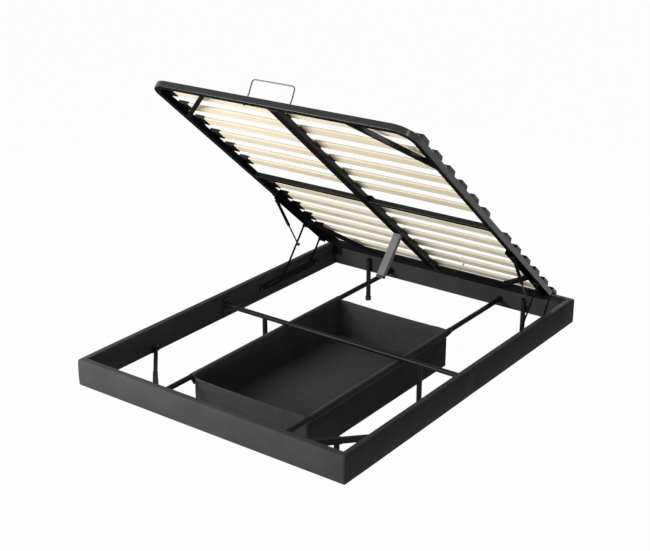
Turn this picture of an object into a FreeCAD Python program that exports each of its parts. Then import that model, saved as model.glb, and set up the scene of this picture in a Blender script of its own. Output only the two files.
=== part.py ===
import FreeCAD, Part
import math
import os

import Sketcher
from FreeCAD import Placement, Rotation, Vector

# Double bed with a lifting slatted deck, millimetres, +Z up.
# Origin: on the floor, under the centre of the mattress opening.
# X runs across the bed (+X is the right side seen from the foot), Y runs from foot to head.
# The deck is drawn lifted, as the photograph shows it.

DIMS = {
    # mattress opening and upholstered rails
    "mattress_width": 1400.0,
    "mattress_length": 1900.0,
    "mattress_gap_side": 10.0,
    "mattress_gap_end": 5.0,
    "rail_height": 130.0,
    "rail_thick": 33.0,
    "rail_bottom": 165.0,
    "rail_round": 9.0,
    # plates screwed to the inner faces of the rails
    "joint_plate_length": 140.0,
    "joint_plate_height": 84.0,
    "joint_plate_thick": 4.0,
    "corner_plate_width": 40.0,
    "corner_plate_height": 56.0,
    "corner_plate_thick": 3.0,
    "corner_plate_drop": 20.0,
    "screw_head": 9.0,
    "screw_head_height": 2.5,
    "screw_key": 4.0,
    "screw_key_depth": 1.6,
    "screw_edge": 12.0,
    "screw_land": 0.5,
    # round steel tubes of the under-frame
    "tube_dia": 25.0,
    "tube_wall": 1.5,
    "long_tube_x": 337.0,
    "long_tube_z": 204.0,
    "stack_gap": 0.7,
    "round_fit": 0.15,
    "socket_flange": 40.0,
    "socket_flange_thick": 3.0,
    "socket_cup": 33.0,
    "socket_cup_length": 6.0,
    # legs and their plastic feet
    "leg_head_x": 481.0,
    "leg_mid_x": 456.0,
    "leg_foot_x": 514.0,
    "leg_rail_gap": 0.3,
    "leg_top_gap": 1.5,
    "pad_dia": 32.0,
    "pad_height": 22.0,
    "pad_floor": 4.0,
    # telescoping corner braces at the foot end
    "brace_reach": 438.0,
    "brace_reach_foot": 408.0,
    "brace_step": 268.0,
    "brace_width": 19.0,
    "brace_height": 25.0,
    "brace_fit": 0.3,
    "brace_overlap": 80.0,
    "brace_plate_length": 48.0,
    "brace_plate_height": 35.0,
    "brace_plate_thick": 4.0,
    "brace_plate_rise": 1.0,
    # cloth storage box hung on the two long tubes
    "box_front_gap": 281.0,
    "box_leg_gap": 7.0,
    "box_floor_z": 6.0,
    "box_floor_thick": 3.0,
    "cloth_thick": 2.0,
    "hem_gap": 0.3,
    "hem_band": 12.0,
    "hem_band_thick": 1.5,
    # square-tube deck frame
    "deck_inset": 4.0,
    "deck_head_gap": 20.0,
    "deck_foot_gap": 79.0,
    "deck_tube": 30.0,
    "deck_wall": 1.5,
    "deck_corner": 100.0,
    "deck_edge": 3.0,
    "deck_rest_gap": 0.3,
    "deck_tilt": 40.37,
    "deck_open_gap": 82.8,
    "deck_open_height": 298.9,
    "beam_width": 50.0,
    "beam_height": 25.0,
    "crossbar_offset": 59.4,
    "crossbar_size": 25.0,
    "joint_plate_reach": 40.0,
    "joint_plate_length": 50.0,
    "joint_plate_thick": 5.0,
    "deck_brace_reach": 280.0,
    "deck_brace_size": 20.0,
    # sprung slats and their holders
    "slat_rows": 6.0,
    "slat_width": 55.0,
    "slat_thick": 12.0,
    "slat_crown": 2.0,
    "slat_end_gap": 4.0,
    "slat_side_inset": 6.0,
    "slat_margin_head": 32.5,
    "slat_margin_foot": 96.0,
    "slat_margin_bar_head": 138.0,
    "slat_margin_bar_foot": 111.3,
    "cap_length": 63.0,
    "cap_depth": 62.0,
    "cap_middle_reach": 15.0,
    "cap_middle_lip": 2.5,
    "cap_height": 19.0,
    "cap_slope": 3.0,
    "cap_floor": 3.0,
    "cap_fit": 0.3,
    # wire loops that keep the mattress from sliding
    "wire_dia": 6.0,
    "wire_fit": 0.2,
    "wire_bend": 14.0,
    "loop_straight": 17.0,
    "loop_leaning": 64.0,
    "loop_lean": 14.5,
    "loop_foot_left": 138.0,
    "loop_foot_right": 88.0,
    "loop_head_left": 103.0,
    "loop_head_right": 135.0,
    "nut_size": 12.0,
    "nut_height": 6.0,
    # middle leg under the deck
    "prop_width": 40.0,
    "prop_depth": 25.0,
    "prop_from_head": 508.0,
    "prop_clear": 1.0,
    "prop_wall": 1.5,
    # lift mechanism: pivots measured from the head edge and underside of the deck
    "rear_pivot_s": 106.2,
    "front_pivot_s": 287.9,
    "gas_pivot_s": 605.0,
    "pivot_drop": 11.4,
    "rear_link_length": 120.3,
    "slot_z": 232.2,
    "front_link_length": 310.1,
    "gas_link_reach": 108.0,
    "link_width": 14.0,
    "link_thick": 3.5,
    "link_eye": 22.0,
    "link_gap": 1.5,
    "pin_dia": 8.0,
    "pin_fit": 0.05,
    "pin_head": 14.0,
    "pin_head_thick": 1.5,
    "pin_rivet": 0.7,
    "roller_dia": 10.0,
    "roller_clear": 0.5,
    "slot_clear": 0.8,
    "lower_bar_height": 28.9,
    "lower_bar_thick": 4.0,
    "lower_bar_foot": 66.0,
    "lower_bar_head": 58.0,
    "upper_bar_drop": 19.0,
    "upper_bar_thick": 3.0,
    "upper_bar_flange": 2.0,
    "upper_bar_inset": 4.0,
    "upper_bar_end": 12.0,
    "upper_bar_foot": 58.0,
    "gas_inset": 4.0,
    "gas_dia": 16.0,
    "gas_rod_dia": 8.0,
    "gas_eye": 18.0,
    "gas_neck": 10.0,
    "gas_eye_thick": 12.0,
    "gas_end_gap": 21.0,
    "gas_engage": 25.0,
    "gas_tip_gap": 6.0,
    "gas_boss": 12.0,
    "gas_side_gap": 0.5,
}

doc = FreeCAD.newDocument("double_bed")
sheet = doc.addObject("Spreadsheet::Sheet", "Dims")
for row, (alias, value) in enumerate(DIMS.items(), start=1):
    sheet.set("A%d" % row, alias.replace("_", " "))
    sheet.set("B%d" % row, str(value))
    sheet.setAlias("B%d" % row, alias)
doc.recompute()


class Sizes:
    """The sheet's numbers, read by name."""

    def __getattr__(self, alias):
        return float(getattr(sheet, alias))


dim = Sizes()
nodes = {}
NEAR = 0.1

# Derived places, shared by all pieces.
half_x = dim.mattress_width / 2 + dim.mattress_gap_side
half_y = dim.mattress_length / 2 + dim.mattress_gap_end
rail_top = dim.rail_bottom + dim.rail_height
tube_r = dim.tube_dia / 2
hem_r = tube_r + dim.hem_gap + dim.cloth_thick
cross_z = dim.long_tube_z + hem_r + dim.stack_gap + tube_r
sleeve_tall = dim.brace_height + 2 * dim.brace_fit + 2 * dim.tube_wall
brace_z = dim.long_tube_z - tube_r - dim.stack_gap - sleeve_tall / 2
closed_z = cross_z + tube_r + dim.deck_rest_gap
closed_y = half_y - dim.deck_head_gap
deck_half = dim.mattress_width / 2 - dim.deck_inset
deck_length = 2 * half_y - dim.deck_head_gap - dim.deck_foot_gap
deck_inner = deck_half - dim.deck_tube
deck_top = dim.deck_tube

# The same lengths as expressions on the sheet.
HALF_X = "(Dims.mattress_width / 2 + Dims.mattress_gap_side)"
HALF_Y = "(Dims.mattress_length / 2 + Dims.mattress_gap_end)"
TUBE_R = "(Dims.tube_dia / 2)"
HEM_R = "(Dims.tube_dia / 2 + Dims.hem_gap + Dims.cloth_thick)"
CROSS_Z = "(Dims.long_tube_z + %s + Dims.stack_gap + %s)" % (HEM_R, TUBE_R)
SLEEVE_WIDE = "(Dims.brace_width + 2 * Dims.brace_fit + 2 * Dims.tube_wall)"
SLEEVE_TALL = "(Dims.brace_height + 2 * Dims.brace_fit + 2 * Dims.tube_wall)"
SLEEVE_LOW = "(Dims.long_tube_z - %s - Dims.stack_gap - %s)" % (TUBE_R, SLEEVE_TALL)
CLOSED_Z = "(%s + %s + Dims.deck_rest_gap)" % (CROSS_Z, TUBE_R)
DECK_HALF = "(Dims.mattress_width / 2 - Dims.deck_inset)"
DECK_LENGTH = "(2 * %s - Dims.deck_head_gap - Dims.deck_foot_gap)" % HALF_Y
DECK_INNER = "(%s - Dims.deck_tube)" % DECK_HALF

# Lifted pose of the deck: its frame has Y towards the head, Z up through the deck,
# and its origin at the underside of the head edge.
tilt = math.radians(dim.deck_tilt)
open_y = half_y - dim.deck_open_gap
lifted = Placement(Vector(0, open_y, dim.deck_open_height), Rotation(Vector(1, 0, 0), -dim.deck_tilt))


def deck_point(along, height, opened=True):
    """Y and Z in the bed of a deck point, given its distance from the head edge and its height."""
    if not opened:
        return closed_y - along, closed_z + height
    y = open_y - along * math.cos(tilt) + height * math.sin(tilt)
    z = dim.deck_open_height + along * math.sin(tilt) + height * math.cos(tilt)
    return y, z


def keep(label, piece):
    """Name a finished piece and put it on the list of files to write."""
    piece.Label = label
    nodes[label] = piece
    return piece


def mirrored(label, source):
    """The same piece on the left side of the bed."""
    twin = doc.addObject("Part::Mirroring", label)
    twin.Source = source
    twin.Base = Vector(0, 0, 0)
    twin.Normal = Vector(1, 0, 0)
    return keep(label, twin)


def pair(label, right):
    """Keep a right-hand piece and its mirror image."""
    keep(label + "_right", right)
    return mirrored(label + "_left", right)


def both(label, right):
    """Keep a right-hand piece and its mirror image as one set."""
    twin = doc.addObject("Part::Mirroring", label + "_twin")
    twin.Source = right
    twin.Normal = Vector(1, 0, 0)
    piece = doc.addObject("Part::Compound", label + "_both")
    piece.Links = [right, twin]
    return keep(label, piece)


def set_size(piece, side, value):
    """Bind a size to the sheet, or set one that was worked out from the pivots."""
    if isinstance(value, str):
        piece.setExpression(side, value)
    else:
        setattr(piece, side, value)


def block(name, size, at):
    """Box with three sizes, its lowest corner at a point."""
    piece = doc.addObject("Part::Box", name)
    for side, value in zip(("Length", "Width", "Height"), size):
        set_size(piece, side, value)
    piece.Placement = Placement(Vector(*at), Rotation())
    return piece


def rod(name, diameter, length, at, along):
    """Round bar from a point, in a direction."""
    piece = doc.addObject("Part::Cylinder", name)
    set_size(piece, "Radius", "(%s) / 2" % diameter if isinstance(diameter, str) else diameter / 2)
    set_size(piece, "Height", length)
    piece.Placement = Placement(Vector(*at), Rotation(Vector(0, 0, 1), Vector(*along)))
    return piece


def cut(name, base, *tools):
    """Base with each tool taken off."""
    for number, tool in enumerate(tools, start=1):
        piece = doc.addObject("Part::Cut", "%s_cut%d" % (name, number))
        piece.Base = base
        piece.Tool = tool
        base = piece
    return base


def fuse(name, *shapes):
    """One solid from touching shapes."""
    piece = doc.addObject("Part::MultiFuse", name)
    piece.Shapes = list(shapes)
    return piece


def group(label, master, places):
    """Identical separate solids, one at each place."""
    copies = []
    for number, place in enumerate(places, start=1):
        copy = doc.addObject("App::Link", "%s_%02d" % (label, number))
        copy.LinkedObject = master
        copy.LinkTransform = True
        copy.Placement = place
        copies.append(copy)
    piece = doc.addObject("Part::Compound", label + "_set")
    piece.Links = copies
    return piece


def sketch_on(body, role, name):
    """Sketch lying on one of the body's own origin planes."""
    sketch = body.newObject("Sketcher::SketchObject", name)
    plane = [item for item in body.Origin.OriginFeatures if item.Role == role][0]
    sketch.AttachmentSupport = [(plane, "")]
    sketch.MapMode = "FlatFace"
    return sketch


def bind(sketch, number, name, text):
    """Name a sketch dimension and bind it to the sheet."""
    sketch.renameConstraint(number, name)
    sketch.setExpression("Constraints." + name, text)


def ring(sketch, outer, inner):
    """Two circles about the sketch origin."""
    for name, text, start in (("outer", outer, 10.0), ("inner", inner, 8.0)):
        circle = sketch.addGeometry(Part.Circle(Vector(0, 0, 0), Vector(0, 0, 1), start), False)
        sketch.addConstraint(Sketcher.Constraint("Coincident", circle, 3, -1, 1))
        number = sketch.addConstraint(Sketcher.Constraint("Diameter", circle, 2 * start))
        bind(sketch, number, name, text)


def rectangle(sketch, wide, tall, name, centred=False, shift="0"):
    """Rectangle from the sketch origin, or about a point of the horizontal axis."""
    low, high = (-5.0, 5.0) if centred else (0.0, 10.0)
    corners = [Vector(low, low, 0), Vector(high, low, 0), Vector(high, high, 0), Vector(low, high, 0)]
    lines = []
    for first in range(4):
        segment = Part.LineSegment(corners[first], corners[(first + 1) % 4])
        lines.append(sketch.addGeometry(segment, False))
    for first in range(4):
        sketch.addConstraint(Sketcher.Constraint("Coincident", lines[first], 2, lines[(first + 1) % 4], 1))
    for number, kind in zip(lines, ("Horizontal", "Vertical", "Horizontal", "Vertical")):
        sketch.addConstraint(Sketcher.Constraint(kind, number))
    if not centred:
        sketch.addConstraint(Sketcher.Constraint("Coincident", lines[0], 1, -1, 1))
    elif shift == "0":
        sketch.addConstraint(Sketcher.Constraint("Symmetric", lines[0], 1, lines[1], 2, -1, 1))
    else:
        centre = sketch.addGeometry(Part.Point(Vector(0.1, 0, 0)), True)
        sketch.addConstraint(Sketcher.Constraint("PointOnObject", centre, 1, -1))
        sketch.addConstraint(Sketcher.Constraint("Symmetric", lines[0], 1, lines[1], 2, centre, 1))
        away = sketch.addConstraint(Sketcher.Constraint("DistanceX", -1, 1, centre, 1, 0.1))
        bind(sketch, away, name + "_shift", shift)
    across = sketch.addConstraint(Sketcher.Constraint("DistanceX", lines[0], 1, lines[0], 2, high - low))
    bind(sketch, across, name + "_wide", wide)
    upward = sketch.addConstraint(Sketcher.Constraint("DistanceY", lines[1], 1, lines[1], 2, high - low))
    bind(sketch, upward, name + "_tall", tall)


def padded(body, sketch, length):
    """Pad a sketch of the body by a length on the sheet."""
    pad = body.newObject("PartDesign::Pad", sketch.Name + "_pad")
    pad.Profile = sketch
    pad.setExpression("Length", length)
    body.Tip = pad
    return pad


def tube(name, outer, bore, length, at, along):
    """Round tube from a point, in a direction."""
    body = doc.addObject("PartDesign::Body", name)
    sketch = sketch_on(body, "XY_Plane", name + "_section")
    ring(sketch, outer, bore)
    padded(body, sketch, length)
    body.Placement = Placement(Vector(*at), Rotation(Vector(0, 0, 1), Vector(*along)))
    return body


def square_tube(name, wide, tall, wall, edge, length, place):
    """Rectangular tube with rounded long edges, running along its own +Z."""
    body = doc.addObject("PartDesign::Body", name)
    outside = sketch_on(body, "XY_Plane", name + "_outside")
    rectangle(outside, wide, tall, "outside", centred=True)
    pad = padded(body, outside, length)
    doc.recompute()
    long_edges = []
    for number, item in enumerate(pad.Shape.Edges, start=1):
        if abs(item.tangentAt(item.FirstParameter).z) > 1 - NEAR:
            long_edges.append("Edge%d" % number)
    rounding = body.newObject("PartDesign::Fillet", name + "_edges")
    rounding.Base = (pad, long_edges)
    rounding.setExpression("Radius", edge)
    inside = sketch_on(body, "XY_Plane", name + "_inside")
    rectangle(inside, "%s - 2 * %s" % (wide, wall), "%s - 2 * %s" % (tall, wall), "inside", centred=True)
    hollow = body.newObject("PartDesign::Pocket", name + "_hollow")
    hollow.Profile = inside
    hollow.Type = "ThroughAll"
    hollow.Reversed = True
    body.Tip = hollow
    body.Placement = place
    return body


def rail(name, long_side, thick, at, soft):
    """Upholstered board: a padded rectangle whose chosen edges are rounded.

    soft tells for a point in the rail's own frame whether its edge is an outer one.
    """
    body = doc.addObject("PartDesign::Body", name)
    sketch = sketch_on(body, "XY_Plane", name + "_plan")
    rectangle(sketch, long_side, thick, "plan")
    pad = padded(body, sketch, "Dims.rail_height")
    doc.recompute()
    outer = []
    for number, item in enumerate(pad.Shape.Edges, start=1):
        if soft(item.CenterOfMass):
            outer.append("Edge%d" % number)
    rounding = body.newObject("PartDesign::Fillet", name + "_round")
    rounding.Base = (pad, outer)
    rounding.setExpression("Radius", "Dims.rail_round")
    body.Tip = rounding
    body.Placement = Placement(Vector(*at), Rotation())
    return body


# Upholstered rails: the end rails run the full width, each side rail is two halves between them.
full_x = 2 * (half_x + dim.rail_thick)
FULL_X = "2 * (%s + Dims.rail_thick)" % HALF_X


def foot_rail_soft(point):
    """Every edge of the foot rail but those of its inner face."""
    return point.y < dim.rail_thick - NEAR


def head_rail_soft(point):
    """Every edge of the head rail but those of its inner face."""
    return point.y > NEAR


def side_rail_soft(point):
    """The two long edges on the outer face of a right-hand side rail."""
    outside = point.x > dim.rail_thick - NEAR
    return outside and (point.z < NEAR or point.z > dim.rail_height - NEAR)


low = dim.rail_bottom
keep("rail_foot", rail("foot_board", FULL_X, "Dims.rail_thick",
                       (-full_x / 2, -half_y - dim.rail_thick, low), foot_rail_soft))
keep("rail_head", rail("head_board", FULL_X, "Dims.rail_thick",
                       (-full_x / 2, half_y, low), head_rail_soft))
pair("rail_foot_half", rail("side_board_foot", "Dims.rail_thick", HALF_Y,
                            (half_x, -half_y, low), side_rail_soft))
pair("rail_head_half", rail("side_board_head", "Dims.rail_thick", HALF_Y,
                            (half_x, 0, low), side_rail_soft))

# Plates that join the side-rail halves and the rail corners.
screw_places = []


def screw(x, y, z, outward):
    """Note a screw head standing on a plate, facing outward."""
    screw_places.append(Placement(Vector(x, y, z), Rotation(Vector(0, 0, 1), Vector(*outward))))


plate_x = half_x - dim.joint_plate_thick
joint_plate = block("joint_plate",
                    ("Dims.joint_plate_thick", "Dims.joint_plate_length", "Dims.joint_plate_height"),
                    (plate_x, -dim.joint_plate_length / 2, cross_z - dim.joint_plate_height / 2))
both("joint_plates", joint_plate)
for side in (-1, 1):
    for end in (-1, 1):
        for edge in (-1, 1):
            y = end * (dim.joint_plate_length / 2 - dim.screw_edge)
            z = cross_z + edge * (dim.joint_plate_height / 2 - dim.screw_edge)
            screw(side * plate_x, y, z, (-side, 0, 0))

corner_z = rail_top - dim.corner_plate_drop - dim.corner_plate_height
CORNER = ("Dims.corner_plate_width", "Dims.corner_plate_thick", "Dims.corner_plate_height")
corner_master = fuse("corner_angle",
                     block("corner_leg_x", CORNER, (-dim.corner_plate_width, -dim.corner_plate_thick, 0)),
                     block("corner_leg_y", (CORNER[1], CORNER[0], CORNER[2]),
                           (-dim.corner_plate_thick, -dim.corner_plate_width, 0)))
corner_places = []
for x, y, turn in ((1, 1, 0), (-1, 1, 90), (-1, -1, 180), (1, -1, 270)):
    corner_places.append(Placement(Vector(x * half_x, y * half_y, corner_z), Rotation(Vector(0, 0, 1), turn)))
    for edge in (dim.screw_edge, dim.corner_plate_height - dim.screw_edge):
        inset = dim.corner_plate_width - dim.screw_edge
        screw(x * (half_x - inset), y * (half_y - dim.corner_plate_thick), corner_z + edge, (0, -y, 0))
        screw(x * (half_x - dim.corner_plate_thick), y * (half_y - inset), corner_z + edge, (-x, 0, 0))
keep("corner_brackets", group("corner", corner_master, corner_places))

# Under-frame: two long tubes, one cross tube over them, and their sockets.
TUBE_BORE = "Dims.tube_dia - 2 * Dims.tube_wall"
pair("long_tube", tube("long_tube", "Dims.tube_dia", TUBE_BORE, "2 * %s" % HALF_Y,
                       (dim.long_tube_x, -half_y, dim.long_tube_z), (0, 1, 0)))
keep("cross_tube", tube("cross_tube_body", "Dims.tube_dia", TUBE_BORE,
                        "2 * (%s - Dims.joint_plate_thick)" % HALF_X, (-plate_x, 0, cross_z), (1, 0, 0)))
SOCKET_DEEP = "Dims.socket_flange_thick + Dims.socket_cup_length"
ROUND_HOLE = "Dims.tube_dia + 2 * Dims.round_fit"
socket_flange = rod("socket_flange", "Dims.socket_flange", "Dims.socket_flange_thick", (0, 0, 0), (0, 0, 1))
socket_cup = rod("socket_cup", "Dims.socket_cup", SOCKET_DEEP, (0, 0, 0), (0, 0, 1))
socket_bore = rod("socket_bore", ROUND_HOLE, SOCKET_DEEP, (0, 0, 0), (0, 0, 1))
socket_master = cut("socket", fuse("socket_solid", socket_flange, socket_cup), socket_bore)
socket_places = []
for side in (-1, 1):
    for end in (-1, 1):
        socket_places.append(Placement(Vector(side * dim.long_tube_x, end * half_y, dim.long_tube_z),
                                       Rotation(Vector(0, 0, 1), Vector(0, -end, 0))))
    socket_places.append(Placement(Vector(side * plate_x, 0, cross_z),
                                   Rotation(Vector(0, 0, 1), Vector(-side, 0, 0))))
keep("tube_sockets", group("socket_copy", socket_master, socket_places))

# Corner braces at the foot: a flat tube slides into a sleeve, both across the corner, cut flush on plates.
BRACE_RUN = "sqrt(Dims.brace_reach ^ 2 + Dims.brace_reach_foot ^ 2)"
brace_run = math.hypot(dim.brace_reach, dim.brace_reach_foot)
run_x = dim.brace_reach_foot / brace_run
run_y = dim.brace_reach / brace_run
rail_end_y = -half_y + dim.brace_reach
foot_end_x = half_x - dim.brace_reach_foot
plate = dim.brace_plate_thick
over = dim.tube_dia
across_corner = Rotation(Vector(run_y, -run_x, 0), Vector(0, 0, 1), Vector(-run_x, -run_y, 0), "ZYX")


def on_brace(along):
    """Place on the right brace's middle line, at a distance from the side rail."""
    return Placement(Vector(half_x - run_x * along, rail_end_y - run_y * along, brace_z), across_corner)


brace_bar = square_tube("brace_tube", "Dims.brace_width", "Dims.brace_height", "Dims.tube_wall",
                        "Dims.tube_wall", "Dims.brace_step + Dims.brace_overlap + 2 * Dims.tube_dia",
                        on_brace(-2 * over))
brace_trim = block("brace_trim", ("4 * Dims.tube_dia", "8 * Dims.tube_dia", "4 * Dims.tube_dia"),
                   (half_x - plate, rail_end_y - 4 * over, brace_z - 2 * over))
pair("brace", cut("brace", brace_bar, brace_trim))
sleeve_bar = square_tube("sleeve_tube", SLEEVE_WIDE, SLEEVE_TALL, "Dims.tube_wall", "Dims.tube_wall",
                         "%s - Dims.brace_step + 2 * Dims.tube_dia" % BRACE_RUN, on_brace(dim.brace_step))
sleeve_trim = block("sleeve_trim", ("8 * Dims.tube_dia", "4 * Dims.tube_dia", "4 * Dims.tube_dia"),
                    (foot_end_x - 4 * over, -half_y + plate - 4 * over, brace_z - 2 * over))
pair("brace_sleeve", cut("sleeve", sleeve_bar, sleeve_trim))
brace_plate = block("brace_plate",
                    ("Dims.brace_plate_thick", "Dims.brace_plate_length", "Dims.brace_plate_height"),
                    (-plate, -dim.brace_plate_length / 2, 0))
brace_places = []
plate_z = dim.rail_bottom + dim.brace_plate_rise
for side in (-1, 1):
    turn = 0 if side > 0 else 180
    rail_y = rail_end_y - plate
    foot_x = side * (dim.long_tube_x - dim.socket_flange / 2 - dim.stack_gap - dim.brace_plate_length / 2)
    brace_places.append(Placement(Vector(side * half_x, rail_y, plate_z), Rotation(Vector(0, 0, 1), turn)))
    brace_places.append(Placement(Vector(foot_x, -half_y, plate_z), Rotation(Vector(0, 0, 1), -90)))
    screw_z = plate_z + dim.brace_plate_height - dim.screw_head / 2 - dim.screw_land
    for shift in (-1, 1):
        away = shift * (dim.brace_plate_length / 2 - dim.screw_edge)
        screw(side * (half_x - plate), rail_y + away, screw_z, (-side, 0, 0))
        screw(foot_x + away, -half_y + plate, screw_z, (0, 1, 0))
keep("brace_plates", group("brace_plate_copy", brace_plate, brace_places))

# Legs: two on the head rail, two under the cross tube, two under the brace sleeves.
leg_foot_y = rail_end_y - (half_x - dim.leg_foot_x) * run_y / run_x
head_leg_y = half_y - tube_r - dim.leg_rail_gap
pair("leg_head", tube("leg_head", "Dims.tube_dia", TUBE_BORE,
                      "%s - Dims.leg_top_gap - Dims.pad_floor" % CLOSED_Z,
                      (dim.leg_head_x, head_leg_y, dim.pad_floor), (0, 0, 1)))
mid_leg = tube("leg_mid", "Dims.tube_dia", TUBE_BORE, "%s - Dims.pad_floor" % CROSS_Z,
               (dim.leg_mid_x, 0, dim.pad_floor), (0, 0, 1))
mid_saddle = rod("leg_mid_saddle", ROUND_HOLE, "4 * Dims.tube_dia",
                 (dim.leg_mid_x - 2 * dim.tube_dia, 0, cross_z), (1, 0, 0))
pair("leg_mid", cut("leg_mid", mid_leg, mid_saddle))
pair("leg_foot", tube("leg_foot", "Dims.tube_dia", TUBE_BORE,
                      "%s - Dims.leg_rail_gap - Dims.pad_floor" % SLEEVE_LOW,
                      (dim.leg_foot_x, leg_foot_y, dim.pad_floor), (0, 0, 1)))
pad_master = cut("pad", rod("pad_solid", "Dims.pad_dia", "Dims.pad_height", (0, 0, 0), (0, 0, 1)),
                 rod("pad_bore", ROUND_HOLE, "Dims.pad_height", (0, 0, dim.pad_floor), (0, 0, 1)))
pad_places = []
for side in (-1, 1):
    for x, y in ((dim.leg_head_x, head_leg_y), (dim.leg_mid_x, 0), (dim.leg_foot_x, leg_foot_y)):
        pad_places.append(Placement(Vector(side * x, y, 0), Rotation()))
keep("foot_pads", group("pad_copy", pad_master, pad_places))

# Deck pieces are placed in the deck's frame, then lifted with it.
bay_foot = deck_length - dim.deck_tube
crossbar_s = closed_y - dim.crossbar_offset
prop_foot = dim.prop_from_head
prop_head = prop_foot - dim.prop_depth


def on_deck(x, along, height, turn=Rotation()):
    """Place in the lifted deck: across, from the head edge, above the underside."""
    return lifted.multiply(Placement(Vector(x, -along, height), turn))


def lift(piece):
    """Lift a piece that was built in the deck's frame."""
    piece.Placement = lifted
    return piece


# Storage box of cloth, hung on the long tubes by hems and closed by a floor panel.
box_front = -half_y + dim.box_front_gap
box_back = closed_y - prop_head + dim.box_leg_gap
wall_x = dim.long_tube_x - hem_r
wall_z = dim.box_floor_z + dim.box_floor_thick
CLOTH = "Dims.cloth_thick"
PROP_HEAD = "(Dims.prop_from_head - Dims.prop_depth)"
BOX_BACK = "(%s - Dims.deck_head_gap - %s + Dims.box_leg_gap)" % (HALF_Y, PROP_HEAD)
BOX_INNER = "(%s + %s - Dims.box_front_gap)" % (BOX_BACK, HALF_Y)
BOX_LENGTH = "(%s + 2 * Dims.cloth_thick)" % BOX_INNER
WALL_X = "(Dims.long_tube_x - %s)" % HEM_R
WALL_HEIGHT = "(Dims.long_tube_z - Dims.box_floor_z - Dims.box_floor_thick)"
hem_start = (dim.long_tube_x, box_front - dim.cloth_thick, dim.long_tube_z)
hem = cut("hem", rod("hem_outside", "2 * %s" % HEM_R, BOX_LENGTH, hem_start, (0, 1, 0)),
          rod("hem_inside", "Dims.tube_dia + 2 * Dims.hem_gap", BOX_LENGTH, hem_start, (0, 1, 0)))
side_wall = block("box_side_wall", (CLOTH, BOX_LENGTH, WALL_HEIGHT),
                  (wall_x, box_front - dim.cloth_thick, wall_z))
pair("box_side", fuse("box_side_sewn", side_wall, hem))
front_face = box_front - dim.cloth_thick
back_face = box_back + dim.cloth_thick
for label, y, band_y in (("box_front", front_face, front_face - dim.hem_band_thick),
                         ("box_back", box_back, back_face)):
    wall = block(label + "_wall", ("2 * %s" % WALL_X, CLOTH, WALL_HEIGHT), (-wall_x, y, wall_z))
    band = block(label + "_hem", ("2 * %s" % WALL_X, "Dims.hem_band_thick", "Dims.hem_band"),
                 (-wall_x, band_y, dim.long_tube_z - dim.hem_band))
    keep(label, fuse(label + "_sewn", wall, band))
FLOOR_WIDTH = "2 * (%s + Dims.cloth_thick)" % WALL_X
keep("box_floor", block("box_floor_panel", (FLOOR_WIDTH, BOX_LENGTH, "Dims.box_floor_thick"),
                        (-wall_x - dim.cloth_thick, front_face, dim.box_floor_z)))

# Deck frame of square tube: bent foot and head tubes, straight sides, centre beam and cross bars.
TUBE = "Dims.deck_tube"
WALL = "Dims.deck_wall"
middle = dim.deck_tube / 2
bend = dim.deck_corner - middle


def bent_tube(name, along, facing):
    """Deck end tube with a rounded corner at each side; facing is 1 at the foot and -1 at the head."""
    straight = deck_half - dim.deck_corner
    run = "2 * (%s - Dims.deck_corner)" % DECK_HALF
    place = Placement(Vector(-straight, -along, middle), Rotation(Vector(0, 0, 1), Vector(1, 0, 0)))
    pieces = [square_tube(name + "_straight", TUBE, TUBE, WALL, "Dims.deck_edge", run, place)]
    for side in (-1, 1):
        corner = doc.addObject("PartDesign::Body", "%s_bend%d" % (name, side + 1))
        outside = sketch_on(corner, "XZ_Plane", corner.Name + "_section")
        rectangle(outside, TUBE, TUBE, "outside", centred=True, shift="Dims.deck_corner - Dims.deck_tube / 2")
        turned = corner.newObject("PartDesign::Revolution", corner.Name + "_turn")
        turned.Profile = outside
        turned.ReferenceAxis = (outside, ["V_Axis"])
        turned.Angle = 90
        doc.recompute()
        round_edges = []
        for number, item in enumerate(turned.Shape.Edges, start=1):
            if isinstance(item.Curve, Part.Circle):
                round_edges.append("Edge%d" % number)
        rounding = corner.newObject("PartDesign::Fillet", corner.Name + "_edges")
        rounding.Base = (turned, round_edges)
        rounding.setExpression("Radius", "Dims.deck_edge")
        inside = sketch_on(corner, "XZ_Plane", corner.Name + "_bore")
        bore = "%s - 2 * %s" % (TUBE, WALL)
        rectangle(inside, bore, bore, "inside", centred=True, shift="Dims.deck_corner - Dims.deck_tube / 2")
        hollow = corner.newObject("PartDesign::Groove", corner.Name + "_hollow")
        hollow.Profile = inside
        hollow.ReferenceAxis = (inside, ["V_Axis"])
        hollow.Angle = 90
        corner.Tip = hollow
        start = {(1, 1): 270, (-1, 1): 180, (1, -1): 0, (-1, -1): 90}[(side, facing)]
        centre = Vector(side * straight, -along + facing * bend, middle)
        corner.Placement = Placement(centre, Rotation(Vector(0, 0, 1), start))
        pieces.append(corner)
    return fuse(name + "_bent", *pieces)


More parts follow.
